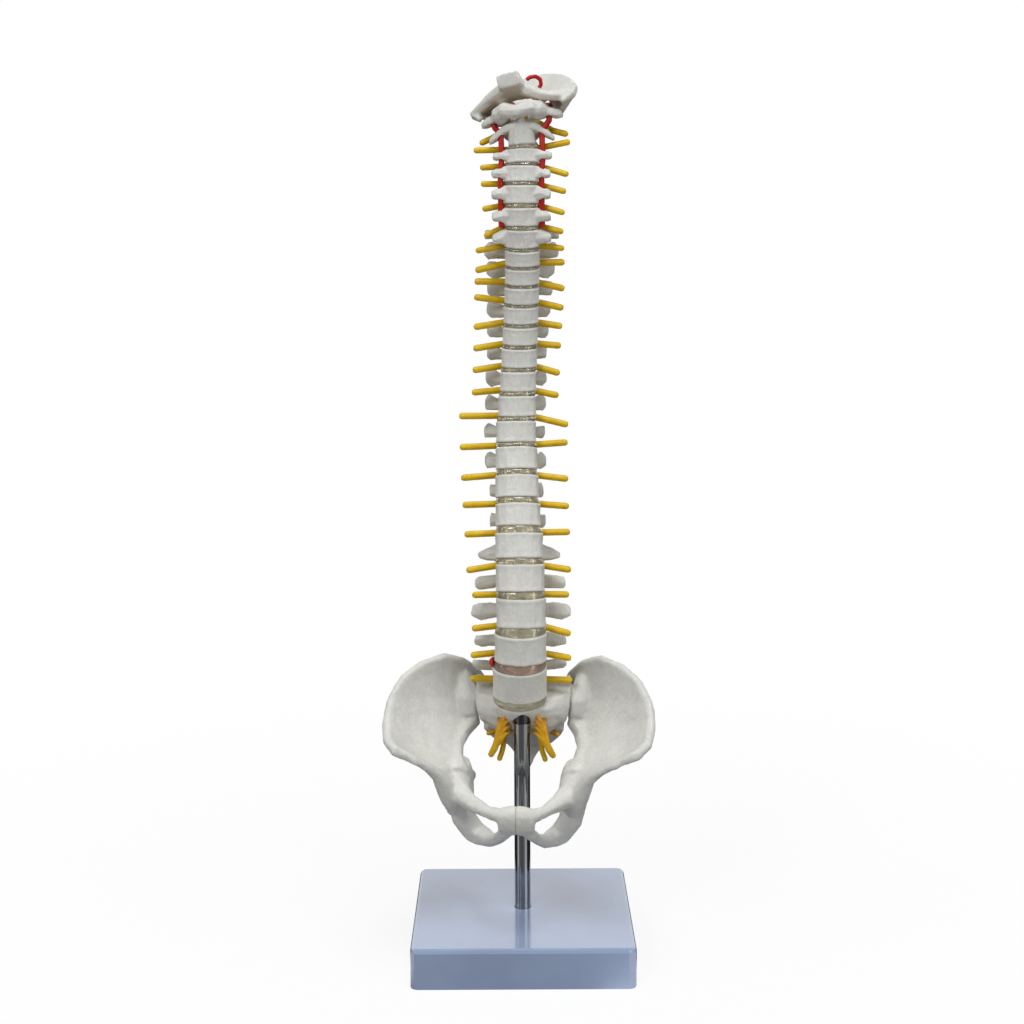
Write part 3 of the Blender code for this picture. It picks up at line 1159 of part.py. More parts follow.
def main():
    """Build the whole model."""
    clear_scene()
    group = make_collection("spine_model")
    bone = make_material("bone_plastic", BONE, 0.45)
    amber = make_material("clear_amber", (0.42, 0.36, 0.22), 0.15)
    yellow = make_material("nerve_yellow", (0.67, 0.39, 0.01), 0.4)
    red = make_material("artery_red", (0.58, 0.02, 0.01), 0.35)
    chrome = make_material("chrome", (0.75, 0.76, 0.78), 0.08, metallic=1.0)
    steel = make_material("rod_steel", (0.55, 0.56, 0.58), 0.3, metallic=1.0)
    plastic = make_material("base_plastic", (0.48, 0.55, 0.70), 0.35)
    levels, joints = stack_levels()
    arteries = [artery_route(levels, sign) for sign in (-1, 1)]
    for k, level in enumerate(levels[:-2]):
        build_vertebra(level, joints[k], joints[k + 1], arteries, group, bone)
    build_axis(levels[-2], joints[-2], arteries, group, bone)
    build_atlas(levels[-1], arteries, group, bone)
    low_size = (PLATE_WIDTH, PLATE_DEPTH)
    low_name = "S1"
    for level, joint in zip(levels[:-1], joints):
        build_disc("disc_" + level.name + "_" + low_name, joint, low_size,
                   (level.width, level.depth), group, amber)
        low_size = (level.width, level.depth)
        low_name = level.name
    build_occiput(levels[-1], group, bone)
    build_base(group, plastic)
    build_pole(group, chrome)
    build_nut(group, steel)
    build_rod(levels, joints, group, steel)
    build_nerves(levels, joints, group, yellow)
    build_artery(arteries[0], False, "vertebral_artery_left", group, red)
    build_artery(arteries[1], True, "vertebral_artery_right", group, red)
    build_herniation(joints[1], levels[0], levels[1], group, red)
    build_sacrum(joints[0].low_face, group, bone)
    build_hips(group, bone)


main()
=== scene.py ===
"""Looks of a half-size model of the vertebral column with pelvis, on a pole and a square base.

Metres, +Z up, the origin on the table under the pole's axis. -Y is the model's front.
"""

import logging
import math
from collections.abc import Callable
from dataclasses import dataclass, field
from enum import Enum

import bmesh
import bpy
from mathutils import Euler, Matrix, Vector


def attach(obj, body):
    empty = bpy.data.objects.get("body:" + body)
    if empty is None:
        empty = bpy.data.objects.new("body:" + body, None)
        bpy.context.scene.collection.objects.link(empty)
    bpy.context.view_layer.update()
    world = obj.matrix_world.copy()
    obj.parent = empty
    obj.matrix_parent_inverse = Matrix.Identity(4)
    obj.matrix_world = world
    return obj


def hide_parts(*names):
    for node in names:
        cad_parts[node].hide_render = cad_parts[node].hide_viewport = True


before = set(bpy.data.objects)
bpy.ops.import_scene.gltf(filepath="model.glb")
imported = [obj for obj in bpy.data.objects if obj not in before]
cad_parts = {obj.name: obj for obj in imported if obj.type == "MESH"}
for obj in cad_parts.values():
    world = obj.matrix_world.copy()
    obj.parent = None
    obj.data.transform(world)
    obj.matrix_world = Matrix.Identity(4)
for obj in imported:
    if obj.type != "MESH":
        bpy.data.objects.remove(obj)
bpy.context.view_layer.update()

LOG = logging.getLogger("spine_model")
MM = 0.001
WHITE = (1.0, 1.0, 1.0, 1.0)

# Triple is a colour, a place or a scale; a Table holds rows of numbers
Triple = tuple[float, float, float]
Table = tuple[tuple[float, ...], ...]
Socket = bpy.types.NodeSocket
Move = Callable[[Vector], Vector]


class Region(Enum):
    """Regions of the column, whose vertebrae differ in grain and in their side processes."""

    LOIN = "L"
    CHEST = "T"
    NECK = "C"


LEVELS = ["L5", "L4", "L3", "L2", "L1", "T12", "T11", "T10", "T9", "T8", "T7", "T6",
          "T5", "T4", "T3", "T2", "T1", "C7", "C6", "C5", "C4", "C3", "C2", "C1"]

# Sizes of the column at a few levels, in millimetres or degrees; the levels between
# them follow on straight runs
BODY_HEIGHT = {"L5": 17.4, "L4": 15.0, "L3": 14.7, "L1": 12.8, "T12": 11.4, "T10": 11.1,
               "T9": 10.6, "T7": 9.8, "T5": 8.7, "T3": 8.0, "T1": 7.4, "C7": 8.7, "C5": 8.6,
               "C3": 6.4, "C2": 12.6, "C1": 5.0}
DISC_HEIGHT = {"L5": 3.8, "L3": 3.4, "L1": 2.9, "T12": 3.4, "T9": 3.0, "T6": 2.5,
               "T3": 1.9, "C7": 1.8, "C5": 2.1, "C3": 1.6, "C2": 2.2, "C1": 0.4}
BODY_WIDTH = {"L5": 27.6, "L3": 25.0, "L1": 24.1, "T12": 22.5, "T10": 20.9, "T7": 18.2,
              "T4": 17.2, "T1": 17.0, "C6": 16.2, "C3": 15.8, "C2": 14.2, "C1": 13.4}
BODY_DEPTH = {"L5": 18.6, "L3": 17.2, "T12": 15.6, "T9": 13.9, "T6": 12.3, "T1": 11.6,
              "C7": 10.4, "C3": 9.4, "C1": 9.0}
FORWARD_TILT = {"L5": 20.0, "L4": 8.0, "L3": -3.0, "L2": -10.0, "T12": -16.0, "T10": -15.0,
                "T8": -3.5, "T6": 3.5, "T1": 13.5, "C7": 12.0, "C6": 6.0, "C5": 0.0,
                "C3": -6.0, "C1": -6.0}
SIDE_SWAY = {"L5": -1.1, "L3": -0.2, "T11": -2.0, "T9": -2.3, "T6": -0.5, "T3": 0.8,
             "T1": 1.2, "C6": 0.8, "C4": 0.6, "C3": 1.4, "C2": 1.2, "C1": 0.6}
TURN = {"L1": 0.0, "T10": 2.0, "T6": 5.0, "T2": 3.0, "C7": 0.0, "C3": -4.0, "C2": -4.0,
        "C1": -13.0}
SIDE_LEAN = {"C4": 0.0, "C3": 1.0, "C2": 3.5, "C1": 7.0}
PLATE_CENTRE = Vector((-1.0, 1.5, 132.7)) * MM
PLATE_TILT = 28.0
PLATE_TURN = -4.5
PLATE_WIDTH = 28.0 * MM
PLATE_DEPTH = 18.6 * MM
BACK_FLATTENING = 0.78


def station_value(stations: dict[str, float], name: str) -> float:
    """Read a size at a level, on straight runs between the named stations.

    Args:
        stations: The size at a few levels.
        name: The level that is asked for.

    Returns:
        The size there.
    """
    place = LEVELS.index(name)
    known = sorted((LEVELS.index(key), value) for key, value in stations.items())
    if place <= known[0][0]:
        return known[0][1]
    for (low, first), (high, last) in zip(known, known[1:]):
        if place <= high:
            return first + (last - first) * (place - low) / (high - low)
    return known[-1][1]


def put_in_scene(name: str, data: bpy.types.ID) -> bpy.types.Object:
    """Put an object into the scene.

    Args:
        name: The object's name.
        data: Its mesh, camera or lamp.

    Returns:
        The object.
    """
    item = bpy.data.objects.new(name, data)
    bpy.context.scene.collection.objects.link(item)
    return item


def add_object(name: str, form: bmesh.types.BMesh) -> bpy.types.Object:
    """Turn a bmesh into an object in the scene, with its faces pointing out.

    Args:
        name: The object's name.
        form: The bmesh, which is freed.

    Returns:
        The object.
    """
    bmesh.ops.recalc_face_normals(form, faces=form.faces)
    mesh = bpy.data.meshes.new(name)
    form.to_mesh(mesh)
    form.free()
    return put_in_scene(name, mesh)


def bake_modifiers(item: bpy.types.Object) -> None:
    """Put an object's modifiers into its mesh.

    Args:
        item: The object.
    """
    bpy.context.view_layer.update()
    graph = bpy.context.evaluated_depsgraph_get()
    old = item.data
    mesh = bpy.data.meshes.new_from_object(item.evaluated_get(graph))
    item.modifiers.clear()
    item.data = mesh
    bpy.data.meshes.remove(old)


def body_outline(width: float, depth: float, z: float, sides: int = 48,
                 back: float = BACK_FLATTENING) -> list[Vector]:
    """Draw a vertebral body's outline, round in front and flatter behind.

    Args:
        width: Its full width.
        depth: Its full depth as if the back were round too.
        z: Its height in the vertebra's frame.
        sides: How many points it has.
        back: The share of its round depth that the back keeps.

    Returns:
        The points.
    """
    ring = []
    for k in range(sides):
        angle = 2 * math.pi * k / sides
        y = -depth / 2 * math.cos(angle)
        y *= back if y > 0 else 1.0
        ring.append(Vector((width / 2 * math.sin(angle), y, z)))
    return ring


def circle(radius: float, z: float, sides: int) -> list[Vector]:
    """Draw a circle about the upright axis.

    Args:
        radius: Its radius.
        z: Its height.
        sides: How many points it has.

    Returns:
        The points.
    """
    angles = [2 * math.pi * k / sides for k in range(sides)]
    return [Vector((radius * math.cos(angle), radius * math.sin(angle), z)) for angle in angles]


def loft(form: bmesh.types.BMesh, rings: list[list[Vector]], closed: bool = False) -> None:
    """Skin rings that hold the same number of points.

    Args:
        form: The bmesh that gets the faces.
        rings: The rings, in order.
        closed: Whether the last ring joins the first instead of both being capped.
    """
    rows = [[form.verts.new(point) for point in ring] for ring in rings]
    count = len(rows[0])
    pairs = list(zip(rows, rows[1:])) + ([(rows[-1], rows[0])] if closed else [])
    for low, high in pairs:
        for k in range(count):
            form.faces.new((low[k], low[(k + 1) % count], high[(k + 1) % count], high[k]))
    if not closed:
        form.faces.new(rows[0])
        form.faces.new(rows[-1])


def tube(form: bmesh.types.BMesh, points: list[Vector], radius: float, sides: int = 12,
         tip: float = 0.7) -> None:
    """Run a round strand through points, with its ends narrowed.

    Args:
        form: The bmesh that gets the faces.
        points: The points.
        radius: Its radius.
        sides: How many sides it has.
        tip: The share of the radius at both ends.
    """
    rings = []
    for k, point in enumerate(points):
        ahead = points[min(k + 1, len(points) - 1)] - points[max(k - 1, 0)]
        turn = ahead.to_track_quat("Z", "X")
        size = radius * (tip if k in (0, len(points) - 1) else 1.0)
        rings.append([point + turn @ spot for spot in circle(size, 0.0, sides)])
    loft(form, rings)


def lump(form: bmesh.types.BMesh, centre: Vector, turn: Matrix, size: Triple) -> None:
    """Add a squashed ball.

    Args:
        form: The bmesh that gets the ball.
        centre: Its centre.
        turn: Its turn.
        size: Its half size along each of its own axes, in millimetres.
    """
    stretch = Matrix.Diagonal((*(half * MM for half in size), 1.0))
    bmesh.ops.create_uvsphere(form, u_segments=24, v_segments=12, radius=1.0,
                              matrix=Matrix.Translation(centre) @ turn @ stretch)


def smooth_step(value: float, start: float, end: float) -> float:
    """Rise softly from 0 to 1 between two values.

    Args:
        value: The value.
        start: Where the rise starts.
        end: Where it ends.

    Returns:
        The share.
    """
    share = min(max((value - start) / (end - start), 0.0), 1.0)
    return share * share * (3 - 2 * share)


def pelvis_point(x: float, y: float, z: float) -> Vector:
    """Place a point of the pelvis, whose own mid plane is turned a little.

    Args:
        x: Distance to the side of its mid plane, in millimetres.
        y: Distance to the back, in millimetres.
        z: Height, in millimetres.

    Returns:
        The point in metres.
    """
    return Matrix.Rotation(math.radians(PLATE_TURN), 3, "Z") @ Vector((x, y, z)) * MM


@dataclass(frozen=True)
class Level:
    """One vertebra's place and the sizes of its body.

    Attributes:
        name: Its name.
        width: The body's width.
        depth: The body's depth.
        height: The body's height.
        place: Its frame at the body's centre.
        bottom: The frame of its lower end plate.
    """

    name: str
    width: float
    depth: float
    height: float
    place: Matrix
    bottom: Matrix

    @property
    def region(self) -> Region:
        """Return the region that the level belongs to."""
        return Region(self.name[0])

    @property
    def top(self) -> Matrix:
        """Return the frame of the upper end plate."""
        return self.place @ Matrix.Translation((0, 0, self.height / 2))


def tilted(centre: Vector, tilt: float, turn: float, lean: float) -> Matrix:
    """Make a frame that tilts forward, raises its +X side and turns about the upright.

    Args:
        centre: Its origin.
        tilt: Forward tilt in degrees.
        turn: Turn in degrees.
        lean: Side lean in degrees.

    Returns:
        The frame.
    """
    angles = (math.radians(tilt), math.radians(-lean), math.radians(turn))
    return Matrix.LocRotScale(centre, Euler(angles, "XYZ"), None)


def stack_levels() -> list[Level]:
    """Stack the vertebrae on the sacral plate.

    Returns:
        The levels, lowest first.
    """
    levels = []
    top = PLATE_CENTRE.copy()
    below = PLATE_TILT
    for name in LEVELS:
        height = station_value(BODY_HEIGHT, name) * MM
        tilt = station_value(FORWARD_TILT, name)
        middle = math.radians((below + tilt) / 2)
        step = Vector((0, -math.sin(middle), math.cos(middle)))
        bottom = top + step * station_value(DISC_HEIGHT, name) * MM
        bottom.x = station_value(SIDE_SWAY, name) * MM
        turn, lean = station_value(TURN, name), station_value(SIDE_LEAN, name)
        own = tilted(bottom, tilt, turn, lean)
        up = own.to_3x3() @ Vector((0, 0, 1))
        levels.append(Level(name, station_value(BODY_WIDTH, name) * MM,
                            station_value(BODY_DEPTH, name) * MM, height,
                            tilted(bottom + up * height / 2, tilt, turn, lean), own))
        top = bottom + up * height
        below = tilt
    return levels


class Shader:
    """Small helper that lays out one material's nodes."""

    def __init__(self, name: str) -> None:
        """Start a material.

        Args:
            name: The material's name.
        """
        self.material = bpy.data.materials.new(name)
        self.material.use_nodes = True
        self.tree = self.material.node_tree
        self.nodes = self.tree.nodes
        self.links = self.tree.links
        self.skin = self.nodes["Principled BSDF"]
        known = self.nodes.new("ShaderNodeTexCoord")
        self.place, self.facing = known.outputs["Object"], known.outputs["Normal"]

    def put(self, socket: str, value: float | tuple[float, ...]) -> None:
        """Set one of the shader's own sockets to a value."""
        self.skin.inputs[socket].default_value = value

    def stretched(self, scale: Triple) -> Socket:
        """Scale the object's coordinates.

        Args:
            scale: Scale along each axis, in cycles a metre.

        Returns:
            The scaled coordinates.
        """
        mapping = self.nodes.new("ShaderNodeMapping")
        mapping.inputs["Scale"].default_value = scale
        self.links.new(self.place, mapping.inputs["Vector"])
        return mapping.outputs["Vector"]

    def noise(self, scale: Triple, detail: float = 3.0, rough: float = 0.55) -> Socket:
        """Make noise in object space.

        Args:
            scale: Cycles a metre along each axis.
            detail: How many octaves it has.
            rough: How strong the finer octaves are.

        Returns:
            Its grey value.
        """
        made = self.nodes.new("ShaderNodeTexNoise")
        made.inputs["Scale"].default_value = 1.0
        made.inputs["Detail"].default_value = detail
        made.inputs["Roughness"].default_value = rough
        self.links.new(self.stretched(scale), made.inputs["Vector"])
        return made.outputs["Fac"]

    def ramp(self, grey: Socket, stops: list[tuple[float, Triple]]) -> Socket:
        """Turn a grey value into colours.

        Args:
            grey: The grey value.
            stops: Places and colours.

        Returns:
            The colour.
        """
        node = self.nodes.new("ShaderNodeValToRGB")
        for k, (place, colour) in enumerate(stops):
            stop = node.color_ramp.elements[k] if k < 2 else node.color_ramp.elements.new(place)
            stop.position = place
            stop.color = (*colour, 1.0)
        self.links.new(grey, node.inputs["Fac"])
        return node.outputs["Color"]

    def span(self, grey: Socket, low: float, high: float, start: float = 0.0,
             end: float = 1.0) -> Socket:
        """Map a grey value to a range.

        Args:
            grey: The grey value.
            low: The result at the start.
            high: The result at the end.
            start: The grey value that gives the low result.
            end: The grey value that gives the high result.

        Returns:
            The mapped value.
        """
        node = self.nodes.new("ShaderNodeMapRange")
        for socket, value in zip(("From Min", "From Max", "To Min", "To Max"),
                                 (start, end, low, high)):
            node.inputs[socket].default_value = value
        self.links.new(grey, node.inputs["Value"])
        return node.outputs["Result"]

    def blend(self, first: Socket, last: Socket, share: float) -> Socket:
        """Blend two grey values.

        Args:
            first: One value.
            last: The other value.
            share: The other value's share.

        Returns:
            The blend.
        """
        node = self.nodes.new("ShaderNodeMix")
        node.inputs["Factor"].default_value = share
        self.links.new(first, node.inputs["A"])
        self.links.new(last, node.inputs["B"])
        return node.outputs["Result"]

    def upward(self, vector: Socket) -> Socket:
        """Read how far a vector points up.

        Args:
            vector: The vector.

        Returns:
            Its part along Z.
        """
        node = self.nodes.new("ShaderNodeSeparateXYZ")
        self.links.new(vector, node.inputs["Vector"])
        return node.outputs["Z"]

    def tinted(self, colour: Socket, tint: Triple, share: Socket) -> Socket:
        """Lay a tint over a colour.

        Args:
            colour: The colour.
            tint: The tint.
            share: How strong the tint is.

        Returns:
            The tinted colour.
        """
        node = self.nodes.new("ShaderNodeMix")
        node.data_type = "RGBA"
        self.links.new(share, node.inputs["Factor"])
        # For colours the Mix node has inputs 6 and 7 and output 2
        self.links.new(colour, node.inputs[6])
        node.inputs[7].default_value = (*tint, 1.0)
        return node.outputs[2]

    def paint_underside_shade(self, colour: Socket, tint: Triple, share: float) -> Socket:
        """Paint shade in a colour on the faces that look down, by the whole share straight down.
        """
        down = self.span(self.upward(self.facing), 0.0, share, start=-0.1, end=-0.8)
        return self.tinted(colour, tint, down)

    def bump(self, layers: list[tuple[Socket, float]]) -> None:
        """Lay bump layers over each other.

        Args:
            layers: Heights from 0 to 1 and how deep each is in metres.
        """
        below = None
        for height, deep in layers:
            node = self.nodes.new("ShaderNodeBump")
            node.inputs["Strength"].default_value = 1.0
            node.inputs["Distance"].default_value = deep
            self.links.new(height, node.inputs["Height"])
            if below:
                self.links.new(below, node.inputs["Normal"])
            below = node.outputs["Normal"]
        self.links.new(below, self.skin.inputs["Normal"])

    def feed(self, socket: str, value: Socket) -> None:
        """Link one of the shader's sockets to what feeds it."""
        self.links.new(value, self.skin.inputs[socket])

    def white_glow(self) -> Socket:
        """Make a shader that looks white in any light.

        Returns:
            The shader.
        """
        node = self.nodes.new("ShaderNodeEmission")
        node.inputs["Color"].default_value = WHITE
        return node.outputs["Emission"]

    def show(self, surface: Socket) -> None:
        """Show another shader than the usual one."""
        self.links.new(surface, self.nodes["Material Output"].inputs["Surface"])


@dataclass(frozen=True)
class BoneFinish:
    """Cast off-white plastic with a fine vertical grain, and painted brown shade on the faces
    that look down.
    """

    name: str = "cast_bone"
    pale: Triple = (0.71, 0.71, 0.67)
    deep: Triple = (0.59, 0.59, 0.55)
    # Colour and strength of the painted shade on faces that look down
    underside_shade: Triple = (0.52, 0.43, 0.32)
    underside_shade_share: float = 0.25

    def build(self) -> bpy.types.Material:
        """Make the material.

        Returns:
            The material.
        """
        shader = Shader(self.name)
        tone = shader.noise((160.0, 160.0, 90.0), detail=4.0)
        grain = shader.noise((1500.0, 1500.0, 260.0), detail=3.0)
        weave = shader.noise((500.0, 500.0, 1500.0), detail=2.0)
        shade = shader.blend(shader.blend(tone, grain, 0.5), weave, 0.3)
        cast = shader.ramp(shade, [(0.36, self.deep), (0.60, self.pale)])
        # Painted brown shade on the faces that look down, stronger the more they face down
        shader.feed("Base Color", shader.paint_underside_shade(cast, self.underside_shade, self.underside_shade_share))
        shader.feed("Roughness", shader.span(grain, 0.36, 0.56))
        shader.put("Specular IOR Level", 0.40)
        shader.put("Subsurface Weight", 0.05)
        shader.put("Subsurface Scale", 0.0015)
        dimple = shader.noise((700.0, 700.0, 420.0), detail=4.0)
        shader.bump([(dimple, 0.00022), (weave, 0.00006), (grain, 0.00014)])
        return shader.material


@dataclass(frozen=True)
class DiscFinish:
    """Clear smoky amber plastic."""

    name: str
    tint: Triple = (0.93, 0.89, 0.68)
    deep: Triple = (0.84, 0.79, 0.55)

    def build(self) -> bpy.types.Material:
        """Make the material.

        Returns:
            The material.
        """
        shader = Shader(self.name)
        cloud = shader.noise((120.0, 120.0, 260.0), detail=2.0)
        shader.feed("Base Color", shader.ramp(cloud, [(0.3, self.deep), (0.65, self.tint)]))
        shader.feed("Roughness", shader.span(cloud, 0.12, 0.19))
        shader.put("Transmission Weight", 0.80)
        shader.put("IOR", 1.40)
        shader.put("Coat Weight", 1.0)
        shader.put("Coat Roughness", 0.03)
        return shader.material


@dataclass(frozen=True)
class RubberFinish:
    """Soft coloured plastic of the nerves and arteries."""

    name: str
    pale: Triple
    deep: Triple
    roughness: float

    def tone(self, shader: Shader) -> Socket:
        """Return the finish's colour, a little mottled."""
        cloud = shader.noise((240.0, 240.0, 120.0), detail=3.0)
        return shader.ramp(cloud, [(0.28, self.deep), (0.66, self.pale)])

    def build(self) -> bpy.types.Material:
        """Make the material.

        Returns:
            The material.
        """
        shader = Shader(self.name)
        shader.feed("Base Color", self.tone(shader))
        shader.feed("Roughness", shader.span(shader.noise((1400.0, 1400.0, 1400.0)),
                                             self.roughness - 0.07, self.roughness + 0.09))
        shader.put("Specular IOR Level", 0.32)
        shader.put("Subsurface Weight", 0.08)
        shader.put("Subsurface Scale", 0.0015)
        shader.bump([(shader.noise((900.0, 900.0, 900.0), detail=3.0), 0.00010)])
        return shader.material


@dataclass(frozen=True)
class NerveFinish(RubberFinish):
    """Yellow plastic with a reddish tone at the sacral roots.

    stops holds heights in metres, each with the strength of the tone there.
    """

    root: Triple = (0.56, 0.22, 0.008)
    stops: Table = ((0.100, 0.0), (0.114, 0.45), (0.126, 0.85), (0.131, 0.0))

    def tone(self, shader: Shader) -> Socket:
        """Lay the reddish tone over the yellow.

        Args:
            shader: The material's shader.

        Returns:
            The colour.
        """
        grey_stops = [(height, (grey, grey, grey)) for height, grey in self.stops]
        share = shader.ramp(shader.upward(shader.place), grey_stops)
        return shader.tinted(super().tone(shader), self.root, share)


@dataclass(frozen=True)
class MetalFinish:
    """Bare metal, polished or plain, whose roughness wanders from smooth to rough."""

    name: str
    colour: Triple
    smooth: float
    rough: float

    def build(self) -> bpy.types.Material:
        """Make the material.

        Returns:
            The material.
        """
        shader = Shader(self.name)
        brush = shader.noise((60.0, 60.0, 2400.0), detail=2.0)
        shader.put("Base Color", (*self.colour, 1.0))
        shader.put("Metallic", 1.0)
        shader.feed("Roughness", shader.span(brush, self.smooth, self.rough))
        shader.bump([(shader.noise((300.0, 300.0, 1800.0)), 0.000004)])
        return shader.material


@dataclass(frozen=True)
class BaseFinish:
    """Satin pale blue-grey moulded plastic."""

    pale: Triple = (0.30, 0.38, 0.56)
    deep: Triple = (0.275, 0.35, 0.52)

    def build(self) -> bpy.types.Material:
        """Make the material.

        Returns:
            The material.
        """
        shader = Shader("base_plastic")
        tone = shader.noise((30.0, 30.0, 30.0), detail=2.0)
        shader.feed("Base Color", shader.ramp(tone, [(0.35, self.deep), (0.65, self.pale)]))
        shader.feed("Roughness", shader.span(shader.noise((500.0, 500.0, 500.0)), 0.14, 0.24))
        shader.put("Specular IOR Level", 0.8)
        shader.put("Coat Weight", 1.0)
        shader.put("Coat Roughness", 0.08)
        shader.bump([(shader.noise((2200.0, 2200.0, 2200.0), detail=2.0), 0.00002),
                     (shader.noise((45.0, 45.0, 45.0), detail=1.0), 0.00006)])
        return shader.material


@dataclass(frozen=True)
class SoftSkin:
    """Turns a CAD node's coarse solid into a fine soft skin, with more forms melted in.

    grain is the size of the mesh's faces, and swell how far the softened form grows again.
    """

    grain: float
    passes: int
    swell: float
    unevenness: float = 0.0
    unevenness_size: float = 0.0028

    def grow(self, name: str, nodes: list[str], extra: bmesh.types.BMesh | None = None,
             shape: Move | None = None) -> bpy.types.Object:
        """Make the skin.

        Args:
            name: The new piece's name.
            nodes: The CAD nodes that it starts from and stands for.
            extra: More closed forms that melt into it, freed here.
            shape: Moves each point of the CAD nodes.

        Returns:
            The piece, which rides on the model.
        """
        form = bmesh.new()
        for node in nodes:
            form.from_mesh(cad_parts[node].data)
        if shape:
            for vert in form.verts:
                vert.co = shape(vert.co)
        if extra:
            carrier = bpy.data.meshes.new("carrier")
            extra.to_mesh(carrier)
            extra.free()
            form.from_mesh(carrier)
            bpy.data.meshes.remove(carrier)
        piece = add_object(name, form)
        melt = piece.modifiers.new("melt", "REMESH")
        melt.mode = "VOXEL"
        melt.voxel_size = self.grain
        soften = piece.modifiers.new("soften", "SMOOTH")
        soften.factor = 0.5
        soften.iterations = self.passes
        swell = piece.modifiers.new("swell", "DISPLACE")
        swell.mid_level = 0.0
        swell.strength = self.swell
        if self.unevenness:
            clouds = bpy.data.textures.new(name + "_unevenness", "CLOUDS")
            clouds.noise_scale = self.unevenness_size
            clouds.noise_depth = 2
            rough = piece.modifiers.new("unevenness", "DISPLACE")
            rough.texture = clouds
            rough.texture_coords = "LOCAL"
            rough.mid_level = 0.5
            rough.strength = self.unevenness
        bake_modifiers(piece)
        piece.data.shade_smooth()
        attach(piece, "root")
        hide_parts(*nodes)
        return piece


def dress(piece: bpy.types.Object, material: bpy.types.Material) -> None:
    """Give a piece its material and report it.

    Args:
        piece: The piece or CAD node.
        material: The material.
    """
    piece.data.materials.clear()
    piece.data.materials.append(material)
    LOG.info("%s: %d faces", piece.name, len(piece.data.polygons))


def stand_in(name: str, form: bmesh.types.BMesh, node: str, crease: float) -> bpy.types.Object:
    """Turn a bmesh into a piece that stands for a CAD node.

    Args:
        name: The piece's name.
        form: The bmesh, which is freed.
        node: The CAD node.
        crease: Edges sharper than this angle in degrees stay sharp.

    Returns:
        The piece, which rides on the model.
    """
    piece = add_object(name, form)
    piece.data.shade_smooth()
    piece.data.set_sharp_from_angle(angle=math.radians(crease))
    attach(piece, "root")
    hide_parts(node)
    return piece


